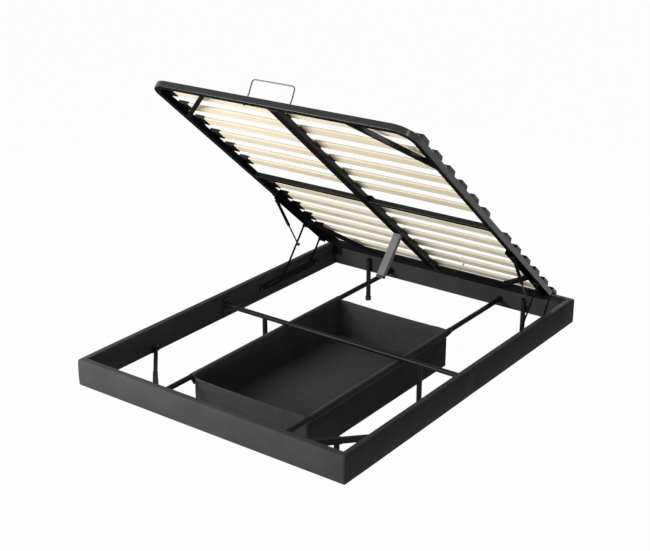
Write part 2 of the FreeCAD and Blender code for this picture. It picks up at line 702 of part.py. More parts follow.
def wire_loop(label, left, right, along, facing):
    """Bent wire standing through an end tube of the deck: two legs, then a hoop that leans outwards.

    facing is 1 at the foot and -1 at the head.
    Returns the wire and the two holes that its legs pass through.
    """
    wire = "Dims.wire_dia"
    low = -dim.nut_height - dim.wire_dia / 2
    leg = "Dims.loop_straight + Dims.deck_tube + Dims.nut_height + Dims.wire_dia / 2"
    kink = deck_top + dim.loop_straight
    lean = Placement(Vector(0, -along, kink), Rotation(Vector(1, 0, 0), facing * dim.loop_lean))
    x_left = -getattr(dim, left)
    x_right = getattr(dim, right)
    hoop = [rod(label + "_top", wire, "Dims.%s + Dims.%s - 2 * Dims.wire_bend" % (left, right),
                (x_left + dim.wire_bend, 0, dim.loop_leaning), (1, 0, 0))]
    legs = []
    holes = []
    for number, (x, inward, turn) in enumerate(((x_left, 1, 90), (x_right, -1, 0))):
        legs.append(rod("%s_leg%d" % (label, number), wire, leg, (x, -along, low), (0, 0, 1)))
        knee = doc.addObject("Part::Sphere", "%s_knee%d" % (label, number))
        knee.setExpression("Radius", "Dims.wire_dia / 2")
        knee.Placement = Placement(Vector(x, -along, kink), Rotation())
        legs.append(knee)
        hoop.append(rod("%s_side%d" % (label, number), wire, "Dims.loop_leaning - Dims.wire_bend",
                        (x, 0, 0), (0, 0, 1)))
        corner = doc.addObject("Part::Torus", "%s_bend%d" % (label, number))
        corner.setExpression("Radius1", "Dims.wire_bend")
        corner.setExpression("Radius2", "Dims.wire_dia / 2")
        corner.Angle3 = 90
        upright = Rotation(Vector(1, 0, 0), 90).multiply(Rotation(Vector(0, 0, 1), turn))
        corner.Placement = Placement(Vector(x + inward * dim.wire_bend, 0, dim.loop_leaning - dim.wire_bend),
                                     upright)
        hoop.append(corner)
        holes.append(rod("%s_hole%d" % (label, number), WIRE_HOLE, "2 * Dims.deck_tube",
                         (x, -along, -middle), (0, 0, 1)))
        nut_places.append(on_deck(x, along, -dim.nut_height))
    for piece in hoop:
        piece.Placement = lean.multiply(piece.Placement)
    return fuse(label + "_wire", *legs, *hoop), holes


WIRE_HOLE = "Dims.wire_dia + 2 * Dims.wire_fit"
nut_places = []
foot_s = deck_length - middle
foot_wire, foot_holes = wire_loop("foot_loop", "loop_foot_left", "loop_foot_right", foot_s, 1)
head_wire, head_holes = wire_loop("head_loop", "loop_head_left", "loop_head_right", middle, -1)
keep("retainer_foot", lift(foot_wire))
keep("retainer_head", lift(head_wire))
keep("deck_tube_foot", lift(cut("deck_foot", bent_tube("deck_foot", foot_s, 1), *foot_holes)))
keep("deck_tube_head", lift(cut("deck_head", bent_tube("deck_head", middle, -1), *head_holes)))
nut_solid = doc.addObject("Part::Prism", "nut_solid")
nut_solid.Polygon = 6
nut_solid.setExpression("Circumradius", "Dims.nut_size / sqrt(3)")
nut_solid.setExpression("Height", "Dims.nut_height")
nut_hole = rod("nut_hole", WIRE_HOLE, "Dims.nut_height", (0, 0, 0), (0, 0, 1))
nut = cut("nut", nut_solid, nut_hole)
keep("retainer_nuts", group("nut_copy", nut, nut_places))

along_deck = Rotation(Vector(0, 0, 1), Vector(0, 1, 0))
across_deck = Rotation(Vector(0, 0, 1), Vector(1, 0, 0))
SIDE_RUN = "%s - 2 * Dims.deck_corner" % DECK_LENGTH
BAY_RUN = "%s - 2 * Dims.deck_tube" % DECK_LENGTH
BAR_RUN = "%s - Dims.beam_width / 2" % DECK_INNER
EDGE = "Dims.deck_edge"
bar_half = dim.crossbar_size / 2
side_end = on_deck(deck_half - middle, deck_length - dim.deck_corner, middle, along_deck)
beam_end = on_deck(0, bay_foot, dim.beam_height / 2, along_deck)
bar_place = on_deck(dim.beam_width / 2, crossbar_s, bar_half, across_deck)
pair("deck_tube", square_tube("deck_side", TUBE, TUBE, WALL, EDGE, SIDE_RUN, side_end))
keep("centre_beam", square_tube("deck_beam", "Dims.beam_width", "Dims.beam_height", WALL, EDGE,
                                BAY_RUN, beam_end))
bars = both("cross_bars", square_tube("deck_bar", "Dims.crossbar_size", "Dims.crossbar_size", WALL, EDGE,
                                      BAR_RUN, bar_place))
# A plate on top of the crossing ties the bars to the beam.
joint_plate = block("deck_joint_plate", ("2 * Dims.joint_plate_reach", "Dims.joint_plate_length",
                                         "Dims.joint_plate_thick"), (0, 0, 0))
joint_plate.Placement = on_deck(-dim.joint_plate_reach, crossbar_s + dim.joint_plate_length / 2, dim.beam_height)
bars.Links = bars.Links + [joint_plate]

# Diagonal braces in the four corners of the deck, cut flush on the tubes.
brace_room = block("deck_brace_room", (DECK_INNER, BAY_RUN, TUBE), (0, -bay_foot, 0))
upward = Vector(0, 0, 1)
deck_braces = []
for end, along, rise in (("foot", bay_foot, 1), ("head", dim.deck_tube, -1)):
    extra = dim.deck_brace_size
    start = Vector(deck_inner - dim.deck_brace_reach - extra, -along - rise * extra, extra / 2)
    run = Vector(1, rise, 0)
    bar = square_tube("deck_brace_" + end, "Dims.deck_brace_size", "Dims.deck_brace_size", WALL, EDGE + " / 2",
                      "(Dims.deck_brace_reach + 2 * Dims.deck_brace_size) * sqrt(2)",
                      Placement(start, Rotation(upward.cross(run), upward, run, "ZYX")))
    flush = doc.addObject("Part::Common", "deck_brace_flush_" + end)
    flush.Base = bar
    flush.Tool = brace_room
    deck_braces.append(flush)
    other = doc.addObject("Part::Mirroring", "deck_brace_twin_" + end)
    other.Source = flush
    other.Normal = Vector(1, 0, 0)
    deck_braces.append(other)
brace_set = doc.addObject("Part::Compound", "deck_brace_set")
brace_set.Links = deck_braces
keep("deck_braces", lift(brace_set))

# Slats: bowed strips in two columns of rows, held at both ends by plastic holders.
CHORD = "(%s - Dims.slat_side_inset - Dims.slat_end_gap)" % DECK_HALF
BOW = "(%s ^ 2 / (8 * Dims.slat_crown) + Dims.slat_crown / 2)" % CHORD
chord = deck_half - dim.slat_side_inset - dim.slat_end_gap
bow = chord ** 2 / (8 * dim.slat_crown) + dim.slat_crown / 2
slat_n = deck_top + dim.cap_floor + dim.cap_fit
slat_mid = dim.slat_end_gap + chord / 2


def bowed_strip(name, extra_text, extra):
    """Arc-shaped strip across the right half of the deck, grown by a clearance all round."""
    half_angle = math.degrees(math.asin((chord / 2 + extra) / bow))
    upright = Rotation(Vector(1, 0, 0), 90).multiply(Rotation(Vector(0, 0, 1), 90 - half_angle))
    centre = Vector(slat_mid, dim.slat_width / 2 + extra, slat_n + dim.slat_crown - bow)
    layers = []
    over = "%s + Dims.slat_thick + %s" % (BOW, extra_text)
    under = "%s - %s" % (BOW, extra_text)
    for part, radius in (("outer", over), ("inner", under)):
        sector = doc.addObject("Part::Cylinder", "%s_%s" % (name, part))
        sector.setExpression("Radius", radius)
        sector.setExpression("Height", "Dims.slat_width + 2 * %s" % extra_text)
        sector.setExpression("Angle", "2 * asin((%s / 2 + %s) / %s)" % (CHORD, extra_text, BOW))
        sector.Placement = Placement(centre, upright)
        layers.append(sector)
    return cut(name, *layers)


def holder(name, depth, height, x, base, tools):
    """Tapered plastic holder standing on a height of the deck, with a pocket for each slat end."""
    solid = doc.addObject("Part::Wedge", name + "_solid")
    for corner, text in (("Xmin", "0"), ("Ymin", "0"), ("Zmin", "-Dims.cap_length / 2"),
                         ("X2min", "Dims.cap_slope"), ("Z2min", "Dims.cap_slope - Dims.cap_length / 2"),
                         ("Xmax", depth), ("Ymax", height), ("Zmax", "Dims.cap_length / 2"),
                         ("X2max", "%s - Dims.cap_slope" % depth),
                         ("Z2max", "Dims.cap_length / 2 - Dims.cap_slope")):
        solid.setExpression(corner, text)
    solid.Placement = Placement(Vector(x, 0, base), Rotation(Vector(1, 0, 0), 90))
    return cut(name, solid, *tools)


slat = bowed_strip("slat", "0", 0.0)
pocket = bowed_strip("slat_pocket", "Dims.cap_fit", dim.cap_fit)
pocket_left = doc.addObject("Part::Mirroring", "slat_pocket_left")
pocket_left.Source = pocket
pocket_left.Normal = Vector(1, 0, 0)
CAP_MIDDLE = "Dims.deck_tube - Dims.beam_height + Dims.cap_floor + Dims.cap_fit + Dims.cap_middle_lip"
cap_side = holder("cap_side", "Dims.cap_depth", "Dims.cap_height", deck_half - dim.cap_depth, deck_top,
                  [pocket])
cap_middle = holder("cap_middle", "2 * Dims.cap_middle_reach", CAP_MIDDLE, -dim.cap_middle_reach,
                    dim.beam_height, [pocket, pocket_left])

rows = int(round(dim.slat_rows))
head_bay = (dim.deck_tube + dim.slat_margin_head, crossbar_s - bar_half - dim.slat_margin_bar_head)
foot_bay = (crossbar_s + bar_half + dim.slat_margin_bar_foot, bay_foot - dim.slat_margin_foot)
row_places = []
for first, last in (head_bay, foot_bay):
    for number in range(rows):
        row_places.append(on_deck(0, first + (last - first) * number / max(rows - 1, 1), 0))
slats_right = group("slat_copy", slat, row_places)
pair("slats", slats_right)
pair("slat_caps", group("cap_side_copy", cap_side, row_places))
keep("slat_caps_centre", group("cap_middle_copy", cap_middle, row_places))

# Middle leg: stands on the floor of the box when the deck is down.
PROP_LENGTH = "%s - Dims.box_floor_z - Dims.box_floor_thick - Dims.prop_clear" % CLOSED_Z
prop_top = on_deck(0, prop_foot - dim.prop_depth / 2, 0, Rotation(Vector(1, 0, 0), 180))
PROP_WALL = "Dims.prop_wall"
keep("support_leg", square_tube("prop", "Dims.prop_width", "Dims.prop_depth", PROP_WALL, PROP_WALL,
                                PROP_LENGTH, prop_top))

# Lift mechanism. Every joint moves at a steady ratio to the deck's own turn, so the roller at the
# foot of the front link wanders a little in height, and its slot and bar are made that much taller.
pivot_n = -dim.pivot_drop
rear_open = deck_point(dim.rear_pivot_s, pivot_n)
rear_closed = deck_point(dim.rear_pivot_s, pivot_n, opened=False)
front_open = deck_point(dim.front_pivot_s, pivot_n)
front_closed = deck_point(dim.front_pivot_s, pivot_n, opened=False)
gas_open = deck_point(dim.gas_pivot_s, pivot_n)
gas_closed = deck_point(dim.gas_pivot_s, pivot_n, opened=False)

# The rear link's fixed pivot is a link's length from its upper pivot with the deck up and with it down.
middle_y = (rear_open[0] + rear_closed[0]) / 2
middle_z = (rear_open[1] + rear_closed[1]) / 2
chord = math.dist(rear_open, rear_closed)
chord_y = (rear_open[0] - rear_closed[0]) / chord
chord_z = (rear_open[1] - rear_closed[1]) / chord
set_back = math.sqrt(dim.rear_link_length ** 2 - (chord / 2) ** 2)
base_pivot = (middle_y - set_back * chord_z, middle_z + set_back * chord_y)


def angle_of(start, end):
    """Direction from one point to another, from +Y towards +Z."""
    return math.atan2(end[1] - start[1], end[0] - start[0])


def along_link(start, angle, length):
    """Point at a distance from a start, in a direction."""
    return start[0] + length * math.cos(angle), start[1] + length * math.sin(angle)


front_up = math.asin((front_open[1] - dim.slot_z) / dim.front_link_length) + math.pi
front_down = math.asin((front_closed[1] - dim.slot_z) / dim.front_link_length) + math.pi
rear_up = angle_of(base_pivot, rear_open)
rear_down = angle_of(base_pivot, rear_closed)
roller_path = []
STEPS = 24
for number in range(STEPS + 1):
    done = number / STEPS
    turn = tilt * (1 - done)
    upper = along_link(base_pivot, rear_up + (rear_down - rear_up) * done, dim.rear_link_length)
    gap = dim.front_pivot_s - dim.rear_pivot_s
    pin = (upper[0] - gap * math.cos(turn), upper[1] + gap * math.sin(turn))
    swing = front_up + tilt + (front_down - front_up - tilt) * done - turn
    roller_path.append(along_link(pin, swing, dim.front_link_length))
boss_open = along_link(front_open, front_up, dim.gas_link_reach)
boss_closed = along_link(front_closed, front_down, dim.gas_link_reach)
gas_long = math.dist(gas_open, boss_open)
gas_short = math.dist(gas_closed, boss_closed)

bar_x = half_x - dim.lower_bar_thick
link_out = bar_x - dim.link_gap
link_in = link_out - dim.link_thick
play = dim.pin_fit * 2
flange_in = deck_inner + dim.upper_bar_inset
flange_out = flange_in + dim.upper_bar_thick
gas_x = deck_half - dim.gas_inset
BAR_X = "(%s - Dims.lower_bar_thick)" % HALF_X
LINK_IN = "(%s - Dims.link_gap - Dims.link_thick)" % BAR_X
FLANGE_OUT = "(%s + Dims.upper_bar_inset + Dims.upper_bar_thick)" % DECK_INNER
GAS_X = "(%s - Dims.gas_inset)" % DECK_HALF
HOLE = "Dims.pin_dia + 2 * Dims.pin_fit"


def side_place(x, point, angle):
    """Place of a flat piece on the right side: its X along the angle, its Z outwards."""
    ahead = Vector(0, math.cos(angle), math.sin(angle))
    outward = Vector(1, 0, 0)
    return Placement(Vector(x, point[0], point[1]), Rotation(ahead, outward.cross(ahead), outward, "ZXY"))


def link_plate(name, length):
    """Flat bar with a round eye at each end, from its first pivot along its own X."""
    strip = block(name + "_strip", ("Dims." + length, "Dims.link_width", "Dims.link_thick"),
                  (0, -dim.link_width / 2, 0))
    eyes = []
    for number, x in enumerate((0, getattr(dim, length))):
        eyes.append(rod("%s_eye%d" % (name, number), "Dims.link_eye", "Dims.link_thick", (x, 0, 0), (0, 0, 1)))
    return strip, eyes


def pin_hole(name, x):
    """Hole for a pivot pin through a link."""
    return rod(name, HOLE, "Dims.link_thick", (x, 0, 0), (0, 0, 1))


# Lower bar on the side rail: a slot for the roller and an ear for the rear link's fixed pivot.
path_y = [point[0] for point in roller_path]
path_z = [point[1] for point in roller_path]
slot_room = dim.roller_dia / 2 + dim.slot_clear
slot_mid_z = (min(path_z) + max(path_z)) / 2
wander = max(path_z) - min(path_z)
slot_half = wander / 2 + slot_room
bar_height = dim.lower_bar_height + wander
slot_start = min(path_y) + slot_half - slot_room
slot_end = max(path_y) + slot_room - slot_half
bar_start = min(path_y) - dim.lower_bar_foot
bar_end = base_pivot[0] + dim.lower_bar_head
BAR = "Dims.lower_bar_thick"
bar_plate = block("lower_bar_plate", (BAR, bar_end - bar_start, bar_height),
                  (bar_x, bar_start, slot_mid_z - bar_height / 2))
ear = block("lower_bar_ear", (BAR, "Dims.link_eye", abs(base_pivot[1] - slot_mid_z)),
            (bar_x, base_pivot[0] - dim.link_eye / 2, min(base_pivot[1], slot_mid_z)))
ear_eye = rod("lower_bar_eye", "Dims.link_eye", BAR, (bar_x,) + base_pivot, (1, 0, 0))
slot_run = block("slot_run", (BAR, slot_end - slot_start, 2 * slot_half),
                 (bar_x, slot_start, slot_mid_z - slot_half))
slot_low = rod("slot_low", 2 * slot_half, BAR, (bar_x, slot_start, slot_mid_z), (1, 0, 0))
slot_high = rod("slot_high", 2 * slot_half, BAR, (bar_x, slot_end, slot_mid_z), (1, 0, 0))
pair("lower_bar", cut("lower_bar", fuse("lower_bar_solid", bar_plate, ear, ear_eye),
                      fuse("slot_shape", slot_run, slot_low, slot_high)))
for side in (-1, 1):
    for y in (bar_start + dim.screw_edge, bar_end - dim.screw_edge):
        screw(side * bar_x, y, slot_mid_z - bar_height / 4, (-side, 0, 0))

# Links: the rear one turns between two pins, the front one carries the roller and the gas boss.
rear_strip, rear_eyes = link_plate("rear_link", "rear_link_length")
rear_link = cut("rear_link", fuse("rear_link_solid", rear_strip, *rear_eyes),
                pin_hole("rear_hole_base", 0), pin_hole("rear_hole_deck", dim.rear_link_length))
rear_link.Placement = side_place(link_in, base_pivot, rear_up)
pair("rear_link", rear_link)
front_strip, front_eyes = link_plate("front_link", "front_link_length")
roller_length = "Dims.lower_bar_thick + Dims.link_gap + Dims.link_thick - Dims.roller_clear"
roller = rod("front_roller", "Dims.roller_dia", roller_length, (dim.front_link_length, 0, 0), (0, 0, 1))
boss_length = "%s - %s - Dims.gas_eye_thick / 2 - Dims.gas_side_gap" % (LINK_IN, GAS_X)
boss = rod("front_boss", "Dims.gas_boss", boss_length, (dim.gas_link_reach, 0, 0), (0, 0, -1))
front_link = cut("front_link", fuse("front_link_solid", front_strip, roller, boss, *front_eyes),
                 pin_hole("front_hole", 0))
front_link.Placement = side_place(link_in, front_open, front_up)
pair("front_link", front_link)

# Upper bar: an angle under the deck's side tube, and the three pivot pins that stand on it.
bar_low_s = dim.gas_pivot_s + dim.upper_bar_foot
UPPER_LENGTH = "Dims.gas_pivot_s + Dims.upper_bar_foot - Dims.rear_pivot_s + Dims.upper_bar_end"
upright_leg = block("upper_bar_leg", ("Dims.upper_bar_thick", UPPER_LENGTH, "Dims.upper_bar_drop"),
                    (flange_in, -bar_low_s, -dim.upper_bar_drop))
FLAT_WIDTH = "Dims.deck_tube - Dims.upper_bar_inset"
flat_leg = block("upper_bar_flat", (FLAT_WIDTH, UPPER_LENGTH, "Dims.upper_bar_flange"),
                 (flange_in, -bar_low_s, -dim.upper_bar_flange))
pair("upper_bar", lift(fuse("upper_bar_angle", upright_leg, flat_leg)))


def stepped_pin(name, place, steps):
    """Round pin built of steps, each a diameter and a length, from its foot outwards."""
    pieces = []
    start = 0.0
    for number, (diameter, length) in enumerate(steps):
        pieces.append(rod("%s_step%d" % (name, number), diameter, length, (0, 0, start), (0, 0, 1)))
        start += length
    pin = fuse(name, *pieces)
    pin.Placement = place
    return pin


outward = Rotation(Vector(0, 0, 1), Vector(1, 0, 0))
inward = Rotation(Vector(0, 0, 1), Vector(-1, 0, 0))
gas_low = gas_x - dim.gas_eye_thick / 2
link_steps = (("Dims.pin_head", link_in - flange_out - play),
              ("Dims.pin_dia", dim.link_thick + 2 * play),
              ("Dims.pin_head", dim.pin_rivet))
gas_steps = (("Dims.pin_head", gas_low - flange_out - play),
             ("Dims.pin_dia", dim.gas_eye_thick + 2 * play),
             ("Dims.pin_head", dim.pin_head_thick))
base_steps = (("Dims.pin_head", dim.link_gap - play),
              ("Dims.pin_dia", dim.link_thick + 2 * play),
              ("Dims.pin_head", dim.pin_head_thick))
deck_pins = []
for name, along, steps in (("rear_pin", dim.rear_pivot_s, link_steps),
                           ("front_pin", dim.front_pivot_s, link_steps),
                           ("gas_pin", dim.gas_pivot_s, gas_steps)):
    deck_pins.append(stepped_pin(name, Placement(Vector(flange_out, -along, pivot_n), outward), steps))
pin_set = doc.addObject("Part::Compound", "deck_pin_set")
pin_set.Links = deck_pins
both("deck_pins", lift(pin_set))
both("base_pins", stepped_pin("base_pivot_pin", Placement(Vector(bar_x, *base_pivot), inward), base_steps))

# Gas springs: the cylinder hangs from the deck's pin, the rod's eye lies beside the front link's boss.
gas_body = gas_short - dim.gas_end_gap
rod_length = gas_long - gas_body + dim.gas_engage
bore_start = gas_short - rod_length - dim.gas_tip_gap
gas_angle = angle_of(gas_open, boss_open)
EYE_LOW = -dim.gas_eye_thick / 2
GAS_HOLE = "Dims.gas_rod_dia + 2 * Dims.pin_fit"
gas_eye = rod("gas_eye", "Dims.gas_eye", "Dims.gas_eye_thick", (0, 0, EYE_LOW), (0, 0, 1))
gas_neck = rod("gas_neck", "Dims.gas_neck", "Dims.gas_eye", (0, 0, 0), (1, 0, 0))
case_start = dim.gas_eye / 2
gas_case = rod("gas_case", "Dims.gas_dia", gas_body - case_start, (case_start, 0, 0), (1, 0, 0))
cylinder = cut("gas_cylinder", fuse("gas_cylinder_solid", gas_eye, gas_neck, gas_case),
               rod("gas_eye_hole", HOLE, "Dims.gas_eye_thick", (0, 0, EYE_LOW), (0, 0, 1)),
               rod("gas_bore", GAS_HOLE, gas_body - bore_start, (bore_start, 0, 0), (1, 0, 0)))
cylinder.Placement = side_place(gas_x, gas_open, gas_angle)
pair("gas_cylinder", cylinder)
rod_eye = rod("gas_rod_eye", "Dims.gas_dia", "Dims.gas_eye_thick", (0, 0, EYE_LOW), (0, 0, 1))
rod_bar = rod("gas_rod_bar", "Dims.gas_rod_dia", rod_length, (0, 0, 0), (-1, 0, 0))
gas_rod = cut("gas_rod", fuse("gas_rod_solid", rod_eye, rod_bar),
              rod("gas_rod_hole", HOLE, "Dims.gas_eye_thick", (0, 0, EYE_LOW), (0, 0, 1)))
gas_rod.Placement = side_place(gas_x, boss_open, gas_angle)
pair("gas_rod", gas_rod)

# Screw heads on every plate.
screw_solid = rod("screw_head_solid", "Dims.screw_head", "Dims.screw_head_height", (0, 0, 0), (0, 0, 1))
key = doc.addObject("Part::Prism", "screw_key_hole")
key.Polygon = 6
key.setExpression("Circumradius", "Dims.screw_key / sqrt(3)")
key.setExpression("Height", "Dims.screw_key_depth")
key.Placement = Placement(Vector(0, 0, dim.screw_head_height - dim.screw_key_depth), Rotation())
keep("frame_screws", group("screw_copy", cut("screw", screw_solid, key), screw_places))

# Build, check and write.
doc.recompute()
for item in doc.Objects:
    if "Invalid" in item.State or "Error" in item.State:
        raise RuntimeError("%s failed: %s" % (item.Name, item.State))
for label, piece in nodes.items():
    if piece.Shape.isNull() or not piece.Shape.isValid() or not piece.Shape.Solids:
        raise RuntimeError("%s has no sound shape" % label)
os.makedirs("parts", exist_ok=True)
for label, piece in nodes.items():
    piece.Shape.exportStep("parts/%s.step" % label)

print("pieces: %d files, %d solids" % (len(nodes), sum(len(piece.Shape.Solids) for piece in nodes.values())))
for name, point in (("base pivot", base_pivot), ("rear pivot", rear_open), ("front pivot", front_open),
                    ("gas pivot", gas_open), ("boss", boss_open)):
    print("%s at y %.4f z %.4f" % (name, point[0], point[1]))
print("rear link turns %.4f deg" % math.degrees(rear_down - rear_up))
print("deck turns %.4f deg" % dim.deck_tilt)
print("front link turns %.4f deg" % math.degrees(front_down - front_up))
print("gas cylinder turns %.4f deg, strokes %.4f mm from %.4f" % (
    math.degrees(angle_of(gas_closed, boss_closed) - gas_angle), gas_long - gas_short, gas_long))
print("roller height from %.2f to %.2f" % (min(path_z), max(path_z)))
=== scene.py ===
"""Looks of a double bed with a lifting slatted deck.

Metres, +Z up, origin on the floor under the centre of the mattress opening,
+X to the right seen from the foot, +Y from foot to head.
"""
import logging
import math
from dataclasses import dataclass
from enum import Enum
from typing import Callable, ClassVar, Iterable

import bmesh
import bpy
from mathutils import Matrix, Vector, noise


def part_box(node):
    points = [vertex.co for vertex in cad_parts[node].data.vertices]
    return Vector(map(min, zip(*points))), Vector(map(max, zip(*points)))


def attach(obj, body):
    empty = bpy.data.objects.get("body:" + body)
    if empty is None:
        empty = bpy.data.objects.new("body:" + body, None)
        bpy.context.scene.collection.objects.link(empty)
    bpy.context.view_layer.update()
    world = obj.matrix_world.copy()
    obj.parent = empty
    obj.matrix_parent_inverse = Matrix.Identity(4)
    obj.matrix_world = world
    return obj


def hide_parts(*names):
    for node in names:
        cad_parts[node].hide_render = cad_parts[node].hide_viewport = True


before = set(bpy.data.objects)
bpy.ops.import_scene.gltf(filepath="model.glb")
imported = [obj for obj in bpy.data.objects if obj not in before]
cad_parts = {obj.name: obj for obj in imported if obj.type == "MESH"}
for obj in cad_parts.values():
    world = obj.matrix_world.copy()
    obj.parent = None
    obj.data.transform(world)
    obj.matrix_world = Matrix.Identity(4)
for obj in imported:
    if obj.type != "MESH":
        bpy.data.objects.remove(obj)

Color = tuple[float, float, float]
Material = bpy.types.Material
Node = bpy.types.Node
Piece = bpy.types.Object
Shape = bmesh.types.BMesh
Socket = bpy.types.NodeSocket
Tree = bpy.types.NodeTree

LOG = logging.getLogger("double_bed")
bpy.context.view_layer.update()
MM = 0.001
SAME_POINT = 0.002 * MM
FLAT_ANGLE = math.radians(0.4)
SHARP_ANGLE = math.radians(38)

# The lifted deck: the way it leans, the middle of its head edge and of the whole frame.
ACROSS = Vector((1.0, 0.0, 0.0))
DECK_TILT = math.radians(40.37)
DECK_UP = Vector((0.0, math.sin(DECK_TILT), math.cos(DECK_TILT)))
DECK_FOOT = Vector((0.0, -math.cos(DECK_TILT), math.sin(DECK_TILT)))
DECK_HEAD = Vector((0.0, 0.8722, 0.2989))
DECK_HALF_LENGTH = 0.9055
DECK_HALF_TUBE = 15 * MM
DECK_MIDDLE = DECK_HEAD + DECK_FOOT * DECK_HALF_LENGTH + DECK_UP * DECK_HALF_TUBE

# Names of the values that faces and corners carry for the materials.
# Deck faces marked with this lose their gloss coat: painted shade.
PAINTED_SHADE = "sheltered"
SLAT_FACE = "ply_layer"
CLOTH_MAP = "cut"


class Look(Enum):
    """Finishes of the bed: the record's slot, and what wears the finish."""

    LEATHER = ("upholstery", "cover")
    TUBE = ("frame_steel", "under-frame")
    DECK = ("frame_steel", "deck")
    BAR = ("frame_steel", "deck bars")
    WIRE = ("frame_steel", "loops")
    LEG = ("leg_steel", "middle leg")
    MECHANISM = ("mechanism_steel", "lift")
    ROD = ("spring_rod", "spring")
    SCREW = ("screw_steel", "fasteners")
    NUT = ("screw_steel", "blackened nuts")
    SLAT = ("slat_wood", "slats")
    HOLDER = ("holder_plastic", "holders")
    CLOTH = ("box_cloth", "box")
    THREAD = ("box_cloth", "stitches")

    @property
    def slot(self) -> str:
        """The record's slot."""
        return self.value[0]


class Graph:
    """Small helper that adds nodes to a shader tree and links them."""

    def __init__(self, tree: Tree) -> None:
        """Work on one shader tree."""
        self.tree = tree

    def add(self, kind: str, **values: object) -> Node:
        """Add a node and set its properties.

        Args:
            kind: The node's type name.
            values: Properties of the node.

        Returns:
            The new node.
        """
        node = self.tree.nodes.new(kind)
        for name, value in values.items():
            setattr(node, name, value)
        return node

    def feed(self, socket: Socket, value: object) -> None:
        """Link an input, or set it.

        Args:
            socket: The input.
            value: An output socket, a number, a vector or a colour.
        """
        if isinstance(value, Socket):
            self.tree.links.new(value, socket)
        elif socket.type == "RGBA":
            socket.default_value = (*value, 1.0)
        else:
            socket.default_value = value

    def put(self, node: Node, **inputs: object) -> Node:
        """Feed inputs of a node by their names, written with underscores.

        Args:
            node: The node whose inputs are fed.
            inputs: Values or output sockets.

        Returns:
            The same node.
        """
        for name, value in inputs.items():
            self.feed(node.inputs[name.replace("_", " ")], value)
        return node

    def math(self, operation: str, first: object, second: object = 0.0) -> Socket:
        """One arithmetic step.

        Args:
            operation: Name of the operation.
            first: Number or socket.
            second: Number or socket.

        Returns:
            The result's socket.
        """
        node = self.add("ShaderNodeMath", operation=operation)
        for socket, value in zip(node.inputs, (first, second)):
            self.feed(socket, value)
        return node.outputs[0]

    def times(self, value: Socket, factor: object) -> Socket:
        """A value times a number or another value."""
        return self.math("MULTIPLY", value, factor)

    def remap(self, value: Socket, low: float = 0.0, high: float = 1.0, to_low: float = 0.0,
              to_high: float = 1.0) -> Socket:
        """Map the range from low to high onto the other, clamped."""
        node = self.put(self.add("ShaderNodeMapRange", clamp=True), Value=value, From_Min=low, From_Max=high,
                        To_Min=to_low, To_Max=to_high)
        return node.outputs["Result"]

    def mix(self, factor: object, first: object, second: object) -> Socket:
        """Blend two colours.

        Args:
            factor: Share of the second colour.
            first: Colour or socket.
            second: Colour or socket.

        Returns:
            The blended colour's socket.
        """
        node = self.add("ShaderNodeMix", data_type="RGBA")
        for socket, value in zip((node.inputs[0], node.inputs[6], node.inputs[7]), (factor, first, second)):
            self.feed(socket, value)
        return node.outputs[2]

    def scaled(self, vector: Socket, scale: tuple[float, float, float],
               turn: tuple[float, float, float] = (0.0, 0.0, 0.0)) -> Socket:
        """Turn a coordinate, then scale it.

        Args:
            vector: Coordinate read.
            scale: Factor along each turned axis.
            turn: Euler angles of the pattern's axes in the piece.

        Returns:
            The mapped coordinate.
        """
        turned = self.put(self.add("ShaderNodeMapping"), Vector=vector, Rotation=turn)
        stretched = self.put(self.add("ShaderNodeMapping"), Vector=turned.outputs[0], Scale=scale)
        return stretched.outputs[0]

    def noise(self, vector: Socket, scale: object, detail: float,
              roughness: float = 0.55) -> Socket:
        """Smooth noise between nought and one, its scale in features per metre of the coordinate."""
        node = self.add("ShaderNodeTexNoise")
        return self.put(node, Vector=vector, Scale=scale, Detail=detail, Roughness=roughness).outputs["Fac"]


class Pattern(Enum):
    """Shader groups that finishes share, with the numbers they take besides a coordinate."""

    CLOUD_AND_SKIN = {"Cloud": 7.0, "Skin": 700.0}
    PEBBLED_LEATHER = {"Cells": 520.0, "Tone Scale": 5.0}
    PLAIN_WEAVE = {"Threads": 420.0, "Slub": 1.0}
    STRAIGHT_GRAIN = {}


